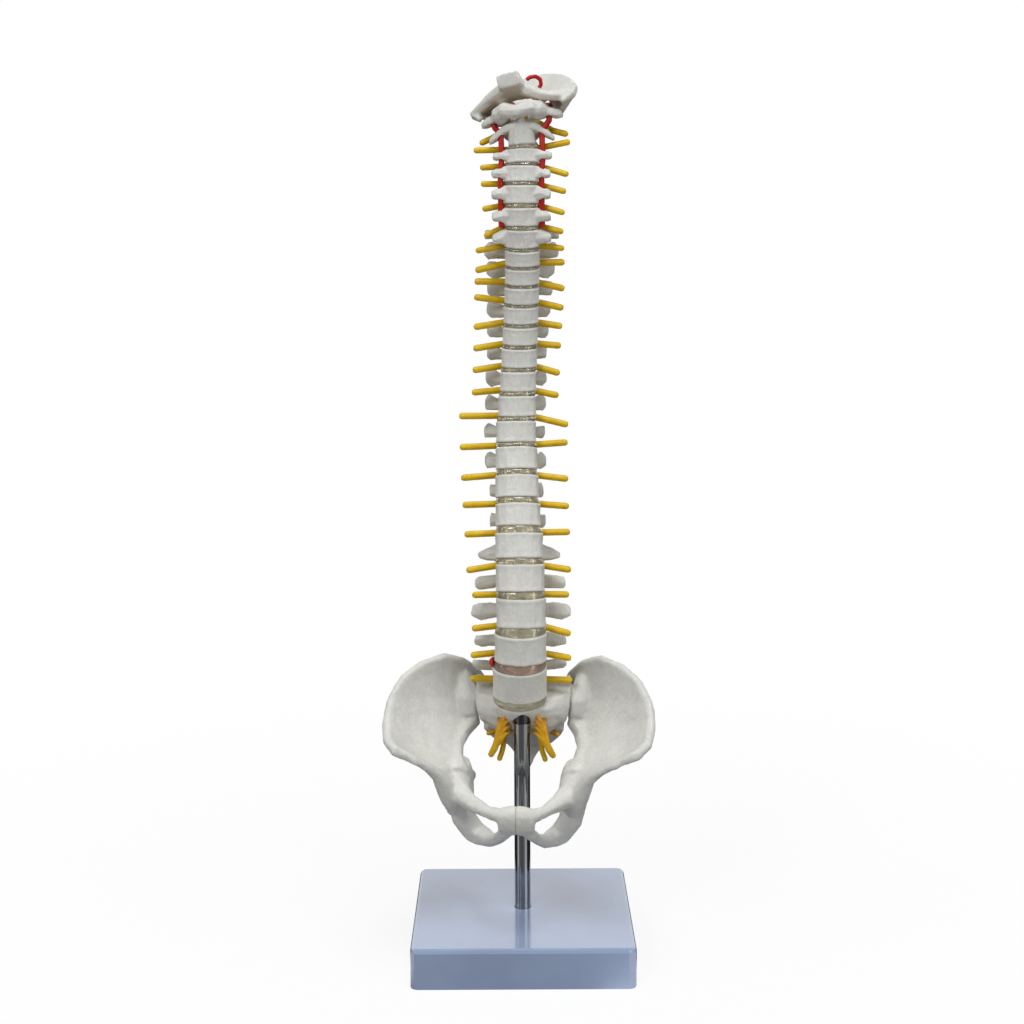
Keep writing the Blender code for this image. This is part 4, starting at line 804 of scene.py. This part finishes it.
@dataclass
class Vertebrae:
    """The 24 vertebrae, each smoothed from its CAD form; all but the plain ones get a body with
    crisp rims melted in.

    rim_sizes holds shares of the rim's width at its foot, edge and end plate, and waist_run
    shares of the height, each with the share of the waist's width there. Over end_lengths
    the side processes narrow by end_taper. stretches makes them higher, by a share and by a
    rise, and sets in over aside_run from the body's edge and behind_run of its depth.
    wing_run holds the distance aside and back, the low and high edge and half the thickness
    of the wedges on one level, in millimetres.
    """

    bone: bpy.types.Material
    growth: float = 0.4 * MM
    bore: float = 5.2 * MM
    rim_height: float = 0.7 * MM
    rim_growth: float = 0.16 * MM
    rim_edge: float = 0.3 * MM
    rim_sizes: Triple = (0.996, 1.0, 0.985)
    waist: float = 0.945
    waist_run: Table = ((0.33, 1.003), (0.66, 1.016))
    swell: float = 0.16 * MM
    unevenness: float = 0.22 * MM
    passes: dict[Region, int] = field(default_factory=lambda: {
        Region.LOIN: 5, Region.CHEST: 4, Region.NECK: 3})
    grains: dict[Region, float] = field(default_factory=lambda: {
        Region.LOIN: 0.60 * MM, Region.CHEST: 0.54 * MM, Region.NECK: 0.46 * MM})
    end_lengths: dict[Region, float] = field(default_factory=lambda: {
        Region.LOIN: 4.2 * MM, Region.CHEST: 2.8 * MM})
    end_taper: float = 0.42
    tip: float = 1.5 * MM
    stretches: dict[Region, tuple[float, float]] = field(default_factory=lambda: {
        Region.LOIN: (0.16, 0.0), Region.CHEST: (0.75, 0.9 * MM)})
    aside_run: tuple[float, float] = (-1.5 * MM, 0.5 * MM)
    behind_run: tuple[float, float] = (0.42, 0.52)
    plain: tuple[str, ...] = ("C2", "C1")
    winged: str = "L1"
    wing_run: Table = (
        (7.0, 10.5, -6.6, 2.4, 1.6), (12.0, 11.4, -7.2, 1.5, 1.5), (16.5, 11.9, -7.0, -0.8, 1.4),
        (20.2, 12.1, -5.9, -2.6, 1.1))
    wing_edge: float = 0.8

    def body_form(self, level: Level) -> bmesh.types.BMesh:
        """Make a body's smooth spool with its rims, in the model's frame.

        Args:
            level: The level.

        Returns:
            The spool, with a hole for the rod.
        """
        half = level.height / 2
        shoulder = half - self.rim_height
        wide, deep = level.width + self.growth, level.depth + self.growth
        waist = (wide * self.waist, deep * self.waist)
        lip = (wide + self.rim_growth, deep + self.rim_growth)
        foot, edge, plate = self.rim_sizes
        upper = [(shoulder * share, part, waist) for share, part in self.waist_run]
        upper += [(shoulder, foot, lip), (half - self.rim_edge, edge, lip), (half, plate, lip)]
        lower = [(-z, part, size) for z, part, size in reversed(upper)]
        outlines = [body_outline(size[0] * part, size[1] * part, z)
                    for z, part, size in [*lower, (0.0, 1.0, waist), *upper]]
        outlines += [body_outline(self.bore, self.bore, z, back=1.0) for z in (half, -half)]
        form = bmesh.new()
        loft(form, [[level.place @ point for point in ring] for ring in outlines], closed=True)
        return form

    def rounded_ends(self, level: Level) -> Move:
        """Return the move that rounds a level's side processes and makes them higher.

        Args:
            level: The level.

        Returns:
            The move of one point.
        """
        points = [vert.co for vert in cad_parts[level.name].data.vertices]
        ends = {}
        for side, outer in ((-1, min(point.x for point in points)),
                            (1, max(point.x for point in points))):
            heights = [point.z for point in points if abs(point.x - outer) < self.tip]
            ends[side] = (outer, (min(heights) + max(heights)) / 2)
        middle = (ends[-1][0] + ends[1][0]) / 2
        length = self.end_lengths[level.region]
        stretch, rise = self.stretches[level.region]
        inverse = level.place.inverted()

        def move(point: Vector) -> Vector:
            """Move one point of the CAD form.

            Args:
                point: The point.

            Returns:
                Its new place.
            """
            outer, height = ends[1 if point.x > middle else -1]
            near = 1 - min(1.0, abs(point.x - outer) / length)
            own = inverse @ point
            aside = smooth_step(abs(own.x), *(level.width / 2 + run for run in self.aside_run))
            aside *= smooth_step(own.y, *(level.depth * run for run in self.behind_run))
            kept = (1 - self.end_taper * near) * (1 + stretch * aside)
            return Vector((point.x, point.y, height + rise * aside + (point.z - height) * kept))

        return move

    def wings(self, level: Level, form: bmesh.types.BMesh) -> None:
        """Add the wedges that widen a level's side processes at their roots.

        Args:
            level: The level.
            form: Takes the wedges.
        """
        for side in (-1, 1):
            sections = []
            for x, y, low, high, thick in self.wing_run:
                corners = [(0.0, low), (thick, low + self.wing_edge),
                           (thick, high - self.wing_edge), (0.0, high),
                           (-thick, high - self.wing_edge), (-thick, low + self.wing_edge)]
                points = [level.place @ (Vector((side * x, y + back, z)) * MM)
                          for back, z in corners]
                sections.append(points if side > 0 else points[::-1])
            loft(form, sections)

    def build(self, levels: list[Level]) -> None:
        """Make and dress every vertebra.

        Args:
            levels: The levels, lowest first.
        """
        for level in levels:
            extra = None if level.name in self.plain else self.body_form(level)
            if level.name == self.winged:
                self.wings(level, extra)
            shape = None if level.region is Region.NECK else self.rounded_ends(level)
            skin = SoftSkin(self.grains[level.region], self.passes[level.region],
                            self.swell, self.unevenness)
            piece = skin.grow("bone_" + level.name, [level.name], extra, shape)
            dress(piece, self.bone)


@dataclass
class Discs:
    """The clear discs between the bodies, and the bulge of the torn one.

    rim holds shares of the height, each with the share of the bulge there. inset and
    bore_share are shares of the end plates' size, and crease is in degrees.
    """

    clear: bpy.types.Material
    worn: bpy.types.Material
    # Dark rubber of the rod; on the discs' bores it also paints the dark reflection in their
    # middle
    sleeve_and_painted_reflection: bpy.types.Material
    red: bpy.types.Material
    bulge: float = 0.32 * MM
    rim: Table = ((0.0, -0.35), (0.12, 0.2), (0.5, 1.0), (0.88, 0.2), (1.0, -0.35))
    inset: float = 0.985
    clearance: float = 0.28 * MM
    bore_share: float = 0.52
    torn: str = "disc_L4_L5"
    sides: int = 96
    crease: float = 50.0
    bulge_skin: SoftSkin = SoftSkin(0.22 * MM, 3, 0.05 * MM)

    def disc(self, name: str, low: tuple[Matrix, float, float],
             high: tuple[Matrix, float, float]) -> None:
        """Make and dress one disc, a wedge that bulges a little at its rim.

        Args:
            name: The CAD node that it stands for.
            low: Frame, width and depth of the end plate under it.
            high: Frame, width and depth of the end plate above it.
        """
        plates = ((low, self.clearance), (high, -self.clearance))
        rings = []
        for share, grow in self.rim:
            lower, upper = ([place @ point for point in body_outline(
                width * self.inset + 2 * self.bulge * grow,
                depth * self.inset + 2 * self.bulge * grow, z, self.sides)]
                for (place, width, depth), z in plates)
            rings.append([first.lerp(last, share) for first, last in zip(lower, upper)])
        for (place, width, depth), z in reversed(plates):
            rings.append([place @ point for point in body_outline(
                width * self.bore_share, depth * self.bore_share, z, self.sides)])
        form = bmesh.new()
        loft(form, rings, closed=True)
        form.faces.ensure_lookup_table()
        # The faces after the rim's rows line the bore and take the dark sleeve material: dark
        # like the rod inside, and wide enough to paint the dark reflection in the middle of each
        # clear disc
        for face in form.faces[len(self.rim) * self.sides:(len(self.rim) + 1) * self.sides]:
            face.material_index = 1
        piece = stand_in(name.replace("disc", "clear_disc"), form, name, self.crease)
        dress(piece, self.worn if name == self.torn else self.clear)
        piece.data.materials.append(self.sleeve_and_painted_reflection)

    def build(self, levels: list[Level]) -> None:
        """Make and dress every disc and the bulge of the torn one.

        Args:
            levels: The levels, lowest first.
        """
        plate = tilted(PLATE_CENTRE, PLATE_TILT, PLATE_TURN, 0.0)
        low, low_name = (plate, PLATE_WIDTH, PLATE_DEPTH), "S1"
        for level in levels[:-1]:
            name = "disc_" + level.name + "_" + low_name
            self.disc(name, low, (level.bottom, level.width, level.depth))
            low, low_name = (level.top, level.width, level.depth), level.name
        bulge = self.bulge_skin.grow("torn_disc_bulge", ["disc_herniation"])
        dress(bulge, self.red)


@dataclass
class NervesAndArteries:
    """The yellow cord with its nerves, and the two red arteries.

    In millimetres, root_run holds the distance aside and back and the rise along a sacral
    root, and bundle the distance aside and back and the height along the roots' bundle.
    """

    yellow: bpy.types.Material
    red: bpy.types.Material
    root_heights: tuple[float, ...] = (124.6, 121.4, 118.2, 115.0)
    root_run: Table = (
        (5.6, 4.5, 0.0), (6.6, 0.4, 0.5), (8.2, -1.8, 0.3), (9.8, -2.6, -1.6), (11.2, -2.6, -5.0))
    root_radius: float = 0.85 * MM
    bundle: Table = (
        (9.6, -1.6, 118.0), (11.4, -3.2, 113.0), (13.6, -2.8, 107.5), (15.6, -1.4, 103.5))
    bundle_radius: float = 1.2 * MM
    cord_skin: SoftSkin = SoftSkin(0.51 * MM, 3, 0.18 * MM, 0.10 * MM)
    artery_skin: SoftSkin = SoftSkin(0.34 * MM, 5, 0.16 * MM, 0.08 * MM)

    def sacral_roots(self) -> bmesh.types.BMesh:
        """Lay the roots that leave the sacrum's front holes, a small bundle on each side.

        Returns:
            The roots.
        """
        form = bmesh.new()
        for side in (-1, 1):
            for height in self.root_heights:
                tube(form, [pelvis_point(side * x, y, height + rise)
                            for x, y, rise in self.root_run], self.root_radius)
            tube(form, [pelvis_point(side * x, y, z) for x, y, z in self.bundle],
                 self.bundle_radius)
        return form

    def build(self) -> None:
        """Make and dress the cord with its nerves, and the arteries."""
        piece = self.cord_skin.grow("cord_and_nerves", ["spinal_cord_and_nerves"],
                                    self.sacral_roots())
        dress(piece, self.yellow)
        for side in ("left", "right"):
            piece = self.artery_skin.grow("artery_" + side, ["vertebral_artery_" + side])
            dress(piece, self.red)


@dataclass(frozen=True)
class Lens:
    """A flat round lump that closes a thin place of a hip bone, in millimetres.

    half is half its thickness, along the direction that it faces.
    """

    place: Triple
    facing: Triple
    radius: float
    half: float


@dataclass
class LargeBones:
    """The sacrum, both hip bones and the skull piece.

    pubic_outline holds y and z around a pubic bone's end, and pubic_sections distances from
    the mid plane, each with the share of the outline's size there. ischium_low and
    ischium_aside say from where to where the shift of the hip on +X sets in. lenses has the
    lumps of the hip on -X under -1.
    """

    bone: bpy.types.Material
    # Bone with strong painted shade on faces that look down, worn by the skull piece
    hollow_bone: bpy.types.Material
    hip_skin: SoftSkin = SoftSkin(0.80 * MM, 8, 0.22 * MM, 0.35 * MM)
    sacrum_skin: SoftSkin = SoftSkin(0.7 * MM, 8, 0.2 * MM, 0.35 * MM)
    skull_skin: SoftSkin = SoftSkin(0.58 * MM, 3, 0.1 * MM, 0.25 * MM)
    pubic_outline: Table = (
        (-46.2, 86.4), (-45.8, 82.0), (-44.0, 77.8), (-41.0, 74.6), (-37.6, 74.0), (-35.4, 76.0),
        (-36.6, 80.0), (-37.6, 84.6), (-38.6, 88.6), (-41.6, 90.1), (-44.8, 89.2))
    pubic_sections: Table = ((0.0, 1.0), (3.0, 1.0), (6.0, 0.92), (9.0, 0.76))
    ischium_shift: float = 5.5 * MM
    ischium_low: tuple[float, float] = (120 * MM, 92 * MM)
    ischium_aside: tuple[float, float] = (3 * MM, 24 * MM)
    wing_centre: Triple = (18.5, 12.0, 136.4)
    wing_size: Triple = (8.5, 4.0, 3.8)
    lenses: dict[int, tuple[Lens, ...]] = field(default_factory=lambda: {
        -1: (Lens((-54.7, -34.2, 112.2), (0.58, 0.04, 0.82), 5.5, 1.5),
             Lens((-38.2, -18.8, 99.2), (0.60, -0.48, 0.64), 3.2, 1.3)),
        1: (Lens((48.7, -42.4, 112.3), (-0.61, 0.09, 0.79), 5.5, 1.5),
            Lens((34.7, -24.5, 99.2), (-0.72, -0.34, 0.61), 3.2, 1.3))})

    def pubic_end(self, side: int) -> bmesh.types.BMesh:
        """Make the end of a pubic bone, which meets the other at the mid plane, and the lumps.

        Args:
            side: -1 for the hip on -X, 1 for the other.

        Returns:
            The end with the lumps.
        """
        count = len(self.pubic_outline)
        middle = (sum(y for y, _ in self.pubic_outline) / count,
                  sum(z for _, z in self.pubic_outline) / count)
        form = bmesh.new()
        loft(form, [[pelvis_point(side * x, middle[0] + (y - middle[0]) * size,
                                  middle[1] + (z - middle[1]) * size)
                     for y, z in self.pubic_outline] for x, size in self.pubic_sections])
        for lens in self.lenses[side]:
            centre = Vector(lens.place) * MM
            if side > 0:
                centre = self.drawn_in(centre)
            turn = Vector(lens.facing).to_track_quat("Z", "X").to_matrix().to_4x4()
            lump(form, centre, turn, (lens.radius, lens.radius, lens.half))
        return form

    def wing_top(self) -> bmesh.types.BMesh:
        """Make the rounded top of the sacrum's wing on +X.

        Returns:
            The top.
        """
        form = bmesh.new()
        lump(form, Vector(self.wing_centre) * MM, Matrix.Identity(4), self.wing_size)
        return form

    def drawn_in(self, point: Vector) -> Vector:
        """Draw the low outer side of the hip on +X toward the middle.

        Args:
            point: A point of the hip.

        Returns:
            The point's new place.
        """
        low = smooth_step(-point.z, *(-height for height in self.ischium_low))
        aside = smooth_step(point.x, *self.ischium_aside)
        return point - Vector((self.ischium_shift * low * aside, 0, 0))

    def build(self) -> None:
        """Make and dress the large bones."""
        self.grown("sacrum", self.sacrum_skin, self.bone, self.wing_top())
        self.grown("hip_left", self.hip_skin, self.bone, self.pubic_end(-1))
        self.grown("hip_right", self.hip_skin, self.bone, self.pubic_end(1), self.drawn_in)
        self.grown("occiput", self.skull_skin, self.hollow_bone)

    @staticmethod
    def grown(node: str, skin: SoftSkin, material: bpy.types.Material,
              extra: bmesh.types.BMesh | None = None, shape: Move | None = None) -> None:
        """Make and dress one bone, with more forms melted in and its CAD points moved."""
        piece = skin.grow("bone_" + node, [node], extra, shape)
        dress(piece, material)


@dataclass
class Stand:
    """The base, the pole with its nut, and the rod in the column.

    groove_floor is the share of the groove's width at its floor, and crease is in degrees.
    """

    plastic: bpy.types.Material
    chrome: bpy.types.Material
    dark_top: bpy.types.Material
    steel: bpy.types.Material
    sleeve_and_painted_reflection: bpy.types.Material
    radius: float = 4.15 * MM
    top: float = 127.0 * MM
    foot: float = 1.5 * MM
    groove_z: float = 121.6 * MM
    groove_width: float = 1.2 * MM
    groove_floor: float = 0.7
    groove_depth: float = 0.45 * MM
    chamfer: float = 0.5 * MM
    sides: int = 96
    crease: float = 25.0

    def pole(self) -> None:
        """Turn and dress the pole with its groove and chamfered ends."""
        half = self.groove_width / 2
        floor = half * self.groove_floor
        inner = self.radius - self.groove_depth
        profile = [(self.radius - self.chamfer, self.top), (self.radius, self.top - self.chamfer),
                   (self.radius, self.groove_z + half), (inner, self.groove_z + floor),
                   (inner, self.groove_z - floor), (self.radius, self.groove_z - half),
                   (self.radius, self.foot + self.chamfer),
                   (self.radius - self.chamfer, self.foot)]
        form = bmesh.new()
        loft(form, [circle(radius, z, self.sides) for radius, z in profile])
        piece = stand_in("polished_pole", form, "pole", self.crease)
        dress(piece, self.chrome)
        piece.data.materials.append(self.dark_top)
        # Above its groove the pole takes the darker metal
        for face in piece.data.polygons:
            face.material_index = 1 if face.center.z > self.groove_z else 0

    def build(self) -> None:
        """Make the pole and dress the stand's CAD pieces."""
        self.pole()
        for node, material in (("base", self.plastic), ("pole_nut", self.steel),
                               ("core_rod", self.sleeve_and_painted_reflection)):
            dress(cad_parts[node], material)


@dataclass(frozen=True)
class Lamp:
    """A soft rectangular lamp that faces the model's middle, with its power in watts."""

    name: str
    spot: Triple
    size: tuple[float, float]
    power: float
    aim: Triple = (0.0, 0.0, 0.2)

    def hang(self) -> None:
        """Hang the lamp in the scene."""
        data = bpy.data.lights.new(self.name, "AREA")
        data.shape = "RECTANGLE"
        data.size, data.size_y = self.size
        data.energy = self.power
        way = Vector(self.aim) - Vector(self.spot)
        turn = way.to_track_quat("-Z", "Y").to_matrix().to_4x4()
        put_in_scene(self.name, data).matrix_world = Matrix.Translation(self.spot) @ turn


@dataclass
class Studio:
    """Floor, light and camera.

    The runs of the floor and the backdrop hold y and z. glow_run says over which distances
    the floor turns white, from the share glow_near. card_stops holds directions around the
    model in degrees, each with the grey that the floor shows to other light.
    """

    lens_px: float = 1763.6
    frame_px: int = 1024
    sensor: float = 36.0
    spot: Triple = (-0.00461, -0.8829, 0.3790)
    pitch: float = 0.1655
    roll: float = -0.005
    floor_run: Table = ((-3.0, 0.0), (1.6, 0.0))
    backdrop_run: Table = ((1.6, 0.0), (1.85, 0.08), (2.0, 0.3), (2.1, 0.7), (2.1, 3.0))
    half_width: float = 4.0
    glow_run: tuple[float, float] = (0.12, 0.55)
    glow_near: float = 0.86
    ambient: float = 0.23
    card_stops: Table = (
        (0.0, 0.04), (8.0, 0.04), (18.0, 0.85), (34.0, 0.85), (44.0, 0.22), (90.0, 0.16),
        (120.0, 0.30), (130.0, 0.85), (152.0, 0.85), (162.0, 0.04))
    lamps: tuple[Lamp, ...] = (
        Lamp("key", (-1.6, -2.6, 2.2), (1.2, 1.2), 40.0),
        Lamp("fill", (2.2, -2.0, 1.2), (1.4, 1.4), 14.0),
        Lamp("top", (0.3, -1.0, 3.8), (1.6, 1.6), 76.0),
        Lamp("back", (0.6, 2.6, 1.9), (1.4, 1.4), 75.0),
        Lamp("left_strip", (-1.25, -0.45, 0.65), (0.16, 1.1), 2.0),
        Lamp("right_strip", (1.25, -0.55, 0.65), (0.16, 1.1), 1.7))

    def camera(self) -> None:
        """Place the camera at the photograph's viewing angle."""
        data = bpy.data.cameras.new("camera")
        data.sensor_width = self.sensor
        data.lens = self.lens_px / self.frame_px * self.sensor
        data.clip_end = 20.0
        item = put_in_scene("camera", data)
        item.matrix_world = (Matrix.Translation(self.spot)
                             @ Matrix.Rotation(math.pi / 2 - self.pitch, 4, "X")
                             @ Matrix.Rotation(self.roll, 4, "Z"))
        bpy.context.scene.camera = item

    def sheet(self, name: str, profile: Table, material: bpy.types.Material) -> None:
        """Stretch a sheet of the stage across the room.

        Args:
            name: Its name.
            profile: Its run from front to back as y and z.
            material: Its material.
        """
        form = bmesh.new()
        rows = [[form.verts.new((x, y, z)) for x in (-self.half_width, self.half_width)]
                for y, z in profile]
        for low, high in zip(rows, rows[1:]):
            form.faces.new((low[0], low[1], high[1], high[0]))
        sheet = add_object(name, form)
        sheet.data.shade_smooth()
        dress(sheet, material)

    @staticmethod
    def any_ray(tree: bpy.types.NodeTree, *kinds: str) -> Socket:
        """Tell camera rays and a few other kinds of ray from the rest.

        Args:
            tree: The nodes of the stage piece or the world.
            kinds: The other kinds.

        Returns:
            1 for these rays and 0 for the rest.
        """
        seen = tree.nodes.new("ShaderNodeLightPath")
        found = seen.outputs["Is Camera Ray"]
        for kind in kinds:
            either = tree.nodes.new("ShaderNodeMath")
            either.operation = "MAXIMUM"
            tree.links.new(found, either.inputs[0])
            tree.links.new(seen.outputs[kind], either.inputs[1])
            found = either.outputs["Value"]
        return found

    @staticmethod
    def mixed(tree: bpy.types.NodeTree, share: Socket, first: Socket, last: Socket) -> Socket:
        """Mix two shaders.

        Args:
            tree: The nodes of the stage piece or the world.
            share: The share of the last one.
            first: One shader.
            last: The other shader.

        Returns:
            The mixed shader.
        """
        node = tree.nodes.new("ShaderNodeMixShader")
        for source, target in zip((share, first, last), node.inputs):
            tree.links.new(source, target)
        return node.outputs["Shader"]

    def backdrop_shader(self) -> bpy.types.Material:
        """Make the backdrop's material, white to the eye and in glossy or clear pieces.

        Returns:
            The material.
        """
        shader = Shader("white_backdrop")
        shader.put("Base Color", (0.5, 0.5, 0.5, 1.0))
        rays = self.any_ray(shader.tree, "Is Glossy Ray", "Is Transmission Ray")
        shader.show(self.mixed(shader.tree, rays, shader.skin.outputs["BSDF"],
                               shader.white_glow()))
        return shader.material

    def floor_shader(self) -> bpy.types.Material:
        """Make the floor's material: pale and shadowed to the eye, cards to other light.

        Returns:
            The material.
        """
        shader = Shader("pale_floor")
        shader.put("Base Color", (0.93, 0.93, 0.93, 1.0))
        shader.put("Roughness", 0.7)
        away = shader.nodes.new("ShaderNodeVectorMath")
        away.operation = "LENGTH"
        shader.links.new(shader.place, away.inputs[0])
        share = shader.span(away.outputs["Value"], self.glow_near, 1.0, *self.glow_run)
        bright = self.mixed(shader.tree, share, shader.skin.outputs["BSDF"],
                            shader.white_glow())
        rays = self.any_ray(shader.tree, "Is Transmission Ray")
        shader.show(self.mixed(shader.tree, rays, self.cards(shader), bright))
        return shader.material

    def cards(self, shader: Shader) -> Socket:
        """Lay dark and white cards on the floor that only reflections and bounced light see.

        Args:
            shader: The floor's shader.

        Returns:
            The cards' shader.
        """
        turn = shader.nodes.new("ShaderNodeTexGradient")
        turn.gradient_type = "RADIAL"
        shader.links.new(shader.place, turn.inputs["Vector"])
        soft = shader.nodes.new("ShaderNodeBsdfDiffuse")
        stops = [(degrees / 360.0, (grey, grey, grey)) for degrees, grey in self.card_stops]
        shader.links.new(shader.ramp(turn.outputs["Fac"], stops), soft.inputs["Color"])
        return soft.outputs["BSDF"]

    def world(self) -> None:
        """Light the surroundings evenly and keep the background white."""
        world = bpy.data.worlds.new("studio")
        world.use_nodes = True
        tree = world.node_tree
        white = tree.nodes.new("ShaderNodeBackground")
        for node, strength in ((tree.nodes["Background"], self.ambient), (white, 1.0)):
            node.inputs["Color"].default_value = WHITE
            node.inputs["Strength"].default_value = strength
        light = self.mixed(tree, self.any_ray(tree, "Is Transmission Ray"),
                           tree.nodes["Background"].outputs["Background"],
                           white.outputs["Background"])
        tree.links.new(light, tree.nodes["World Output"].inputs["Surface"])
        bpy.context.scene.world = world

    def build(self) -> None:
        """Set up the camera, the floor with its backdrop, and the light."""
        self.camera()
        self.sheet("pale_floor", self.floor_run, self.floor_shader())
        self.sheet("white_backdrop", self.backdrop_run, self.backdrop_shader())
        self.world()
        for lamp in self.lamps:
            lamp.hang()
        bpy.context.scene.view_settings.view_transform = "Standard"
        LOG.info("studio is set")


def main() -> None:
    """Build every piece of the model in order."""
    logging.basicConfig(level=logging.INFO, format="%(message)s")
    levels = stack_levels()
    bone = BoneFinish().build()
    # The skull piece's bone paints strong brown shade on its faces that look down
    hollow_bone = BoneFinish("hollow_bone", underside_shade_share=0.85).build()
    # Dark rubber of the rod, which on the discs' bores also paints the dark reflection in their
    # middle
    sleeve_and_painted_reflection = RubberFinish("dark_sleeve", (0.060, 0.050, 0.030), (0.042, 0.035, 0.021),
                          0.45).build()
    red = RubberFinish("artery_red", (0.54, 0.016, 0.008), (0.39, 0.009, 0.005), 0.32).build()
    yellow = NerveFinish("nerve_yellow", (0.74, 0.49, 0.006), (0.62, 0.38, 0.004), 0.36).build()
    Studio().build()
    Vertebrae(bone).build(levels)
    Discs(DiscFinish("clear_disc").build(),
          DiscFinish("worn_disc", (0.84, 0.66, 0.54), (0.74, 0.54, 0.42)).build(),
          sleeve_and_painted_reflection, red).build(levels)
    NervesAndArteries(yellow, red).build()
    LargeBones(bone, hollow_bone).build()
    Stand(BaseFinish().build(),
          MetalFinish("polished_chrome", (0.31, 0.32, 0.34), 0.03, 0.09).build(),
          MetalFinish("dark_cap", (0.09, 0.09, 0.10), 0.08, 0.16).build(),
          MetalFinish("plain_steel", (0.50, 0.50, 0.50), 0.25, 0.4).build(), sleeve_and_painted_reflection).build()


if __name__ == "__main__":
    main()
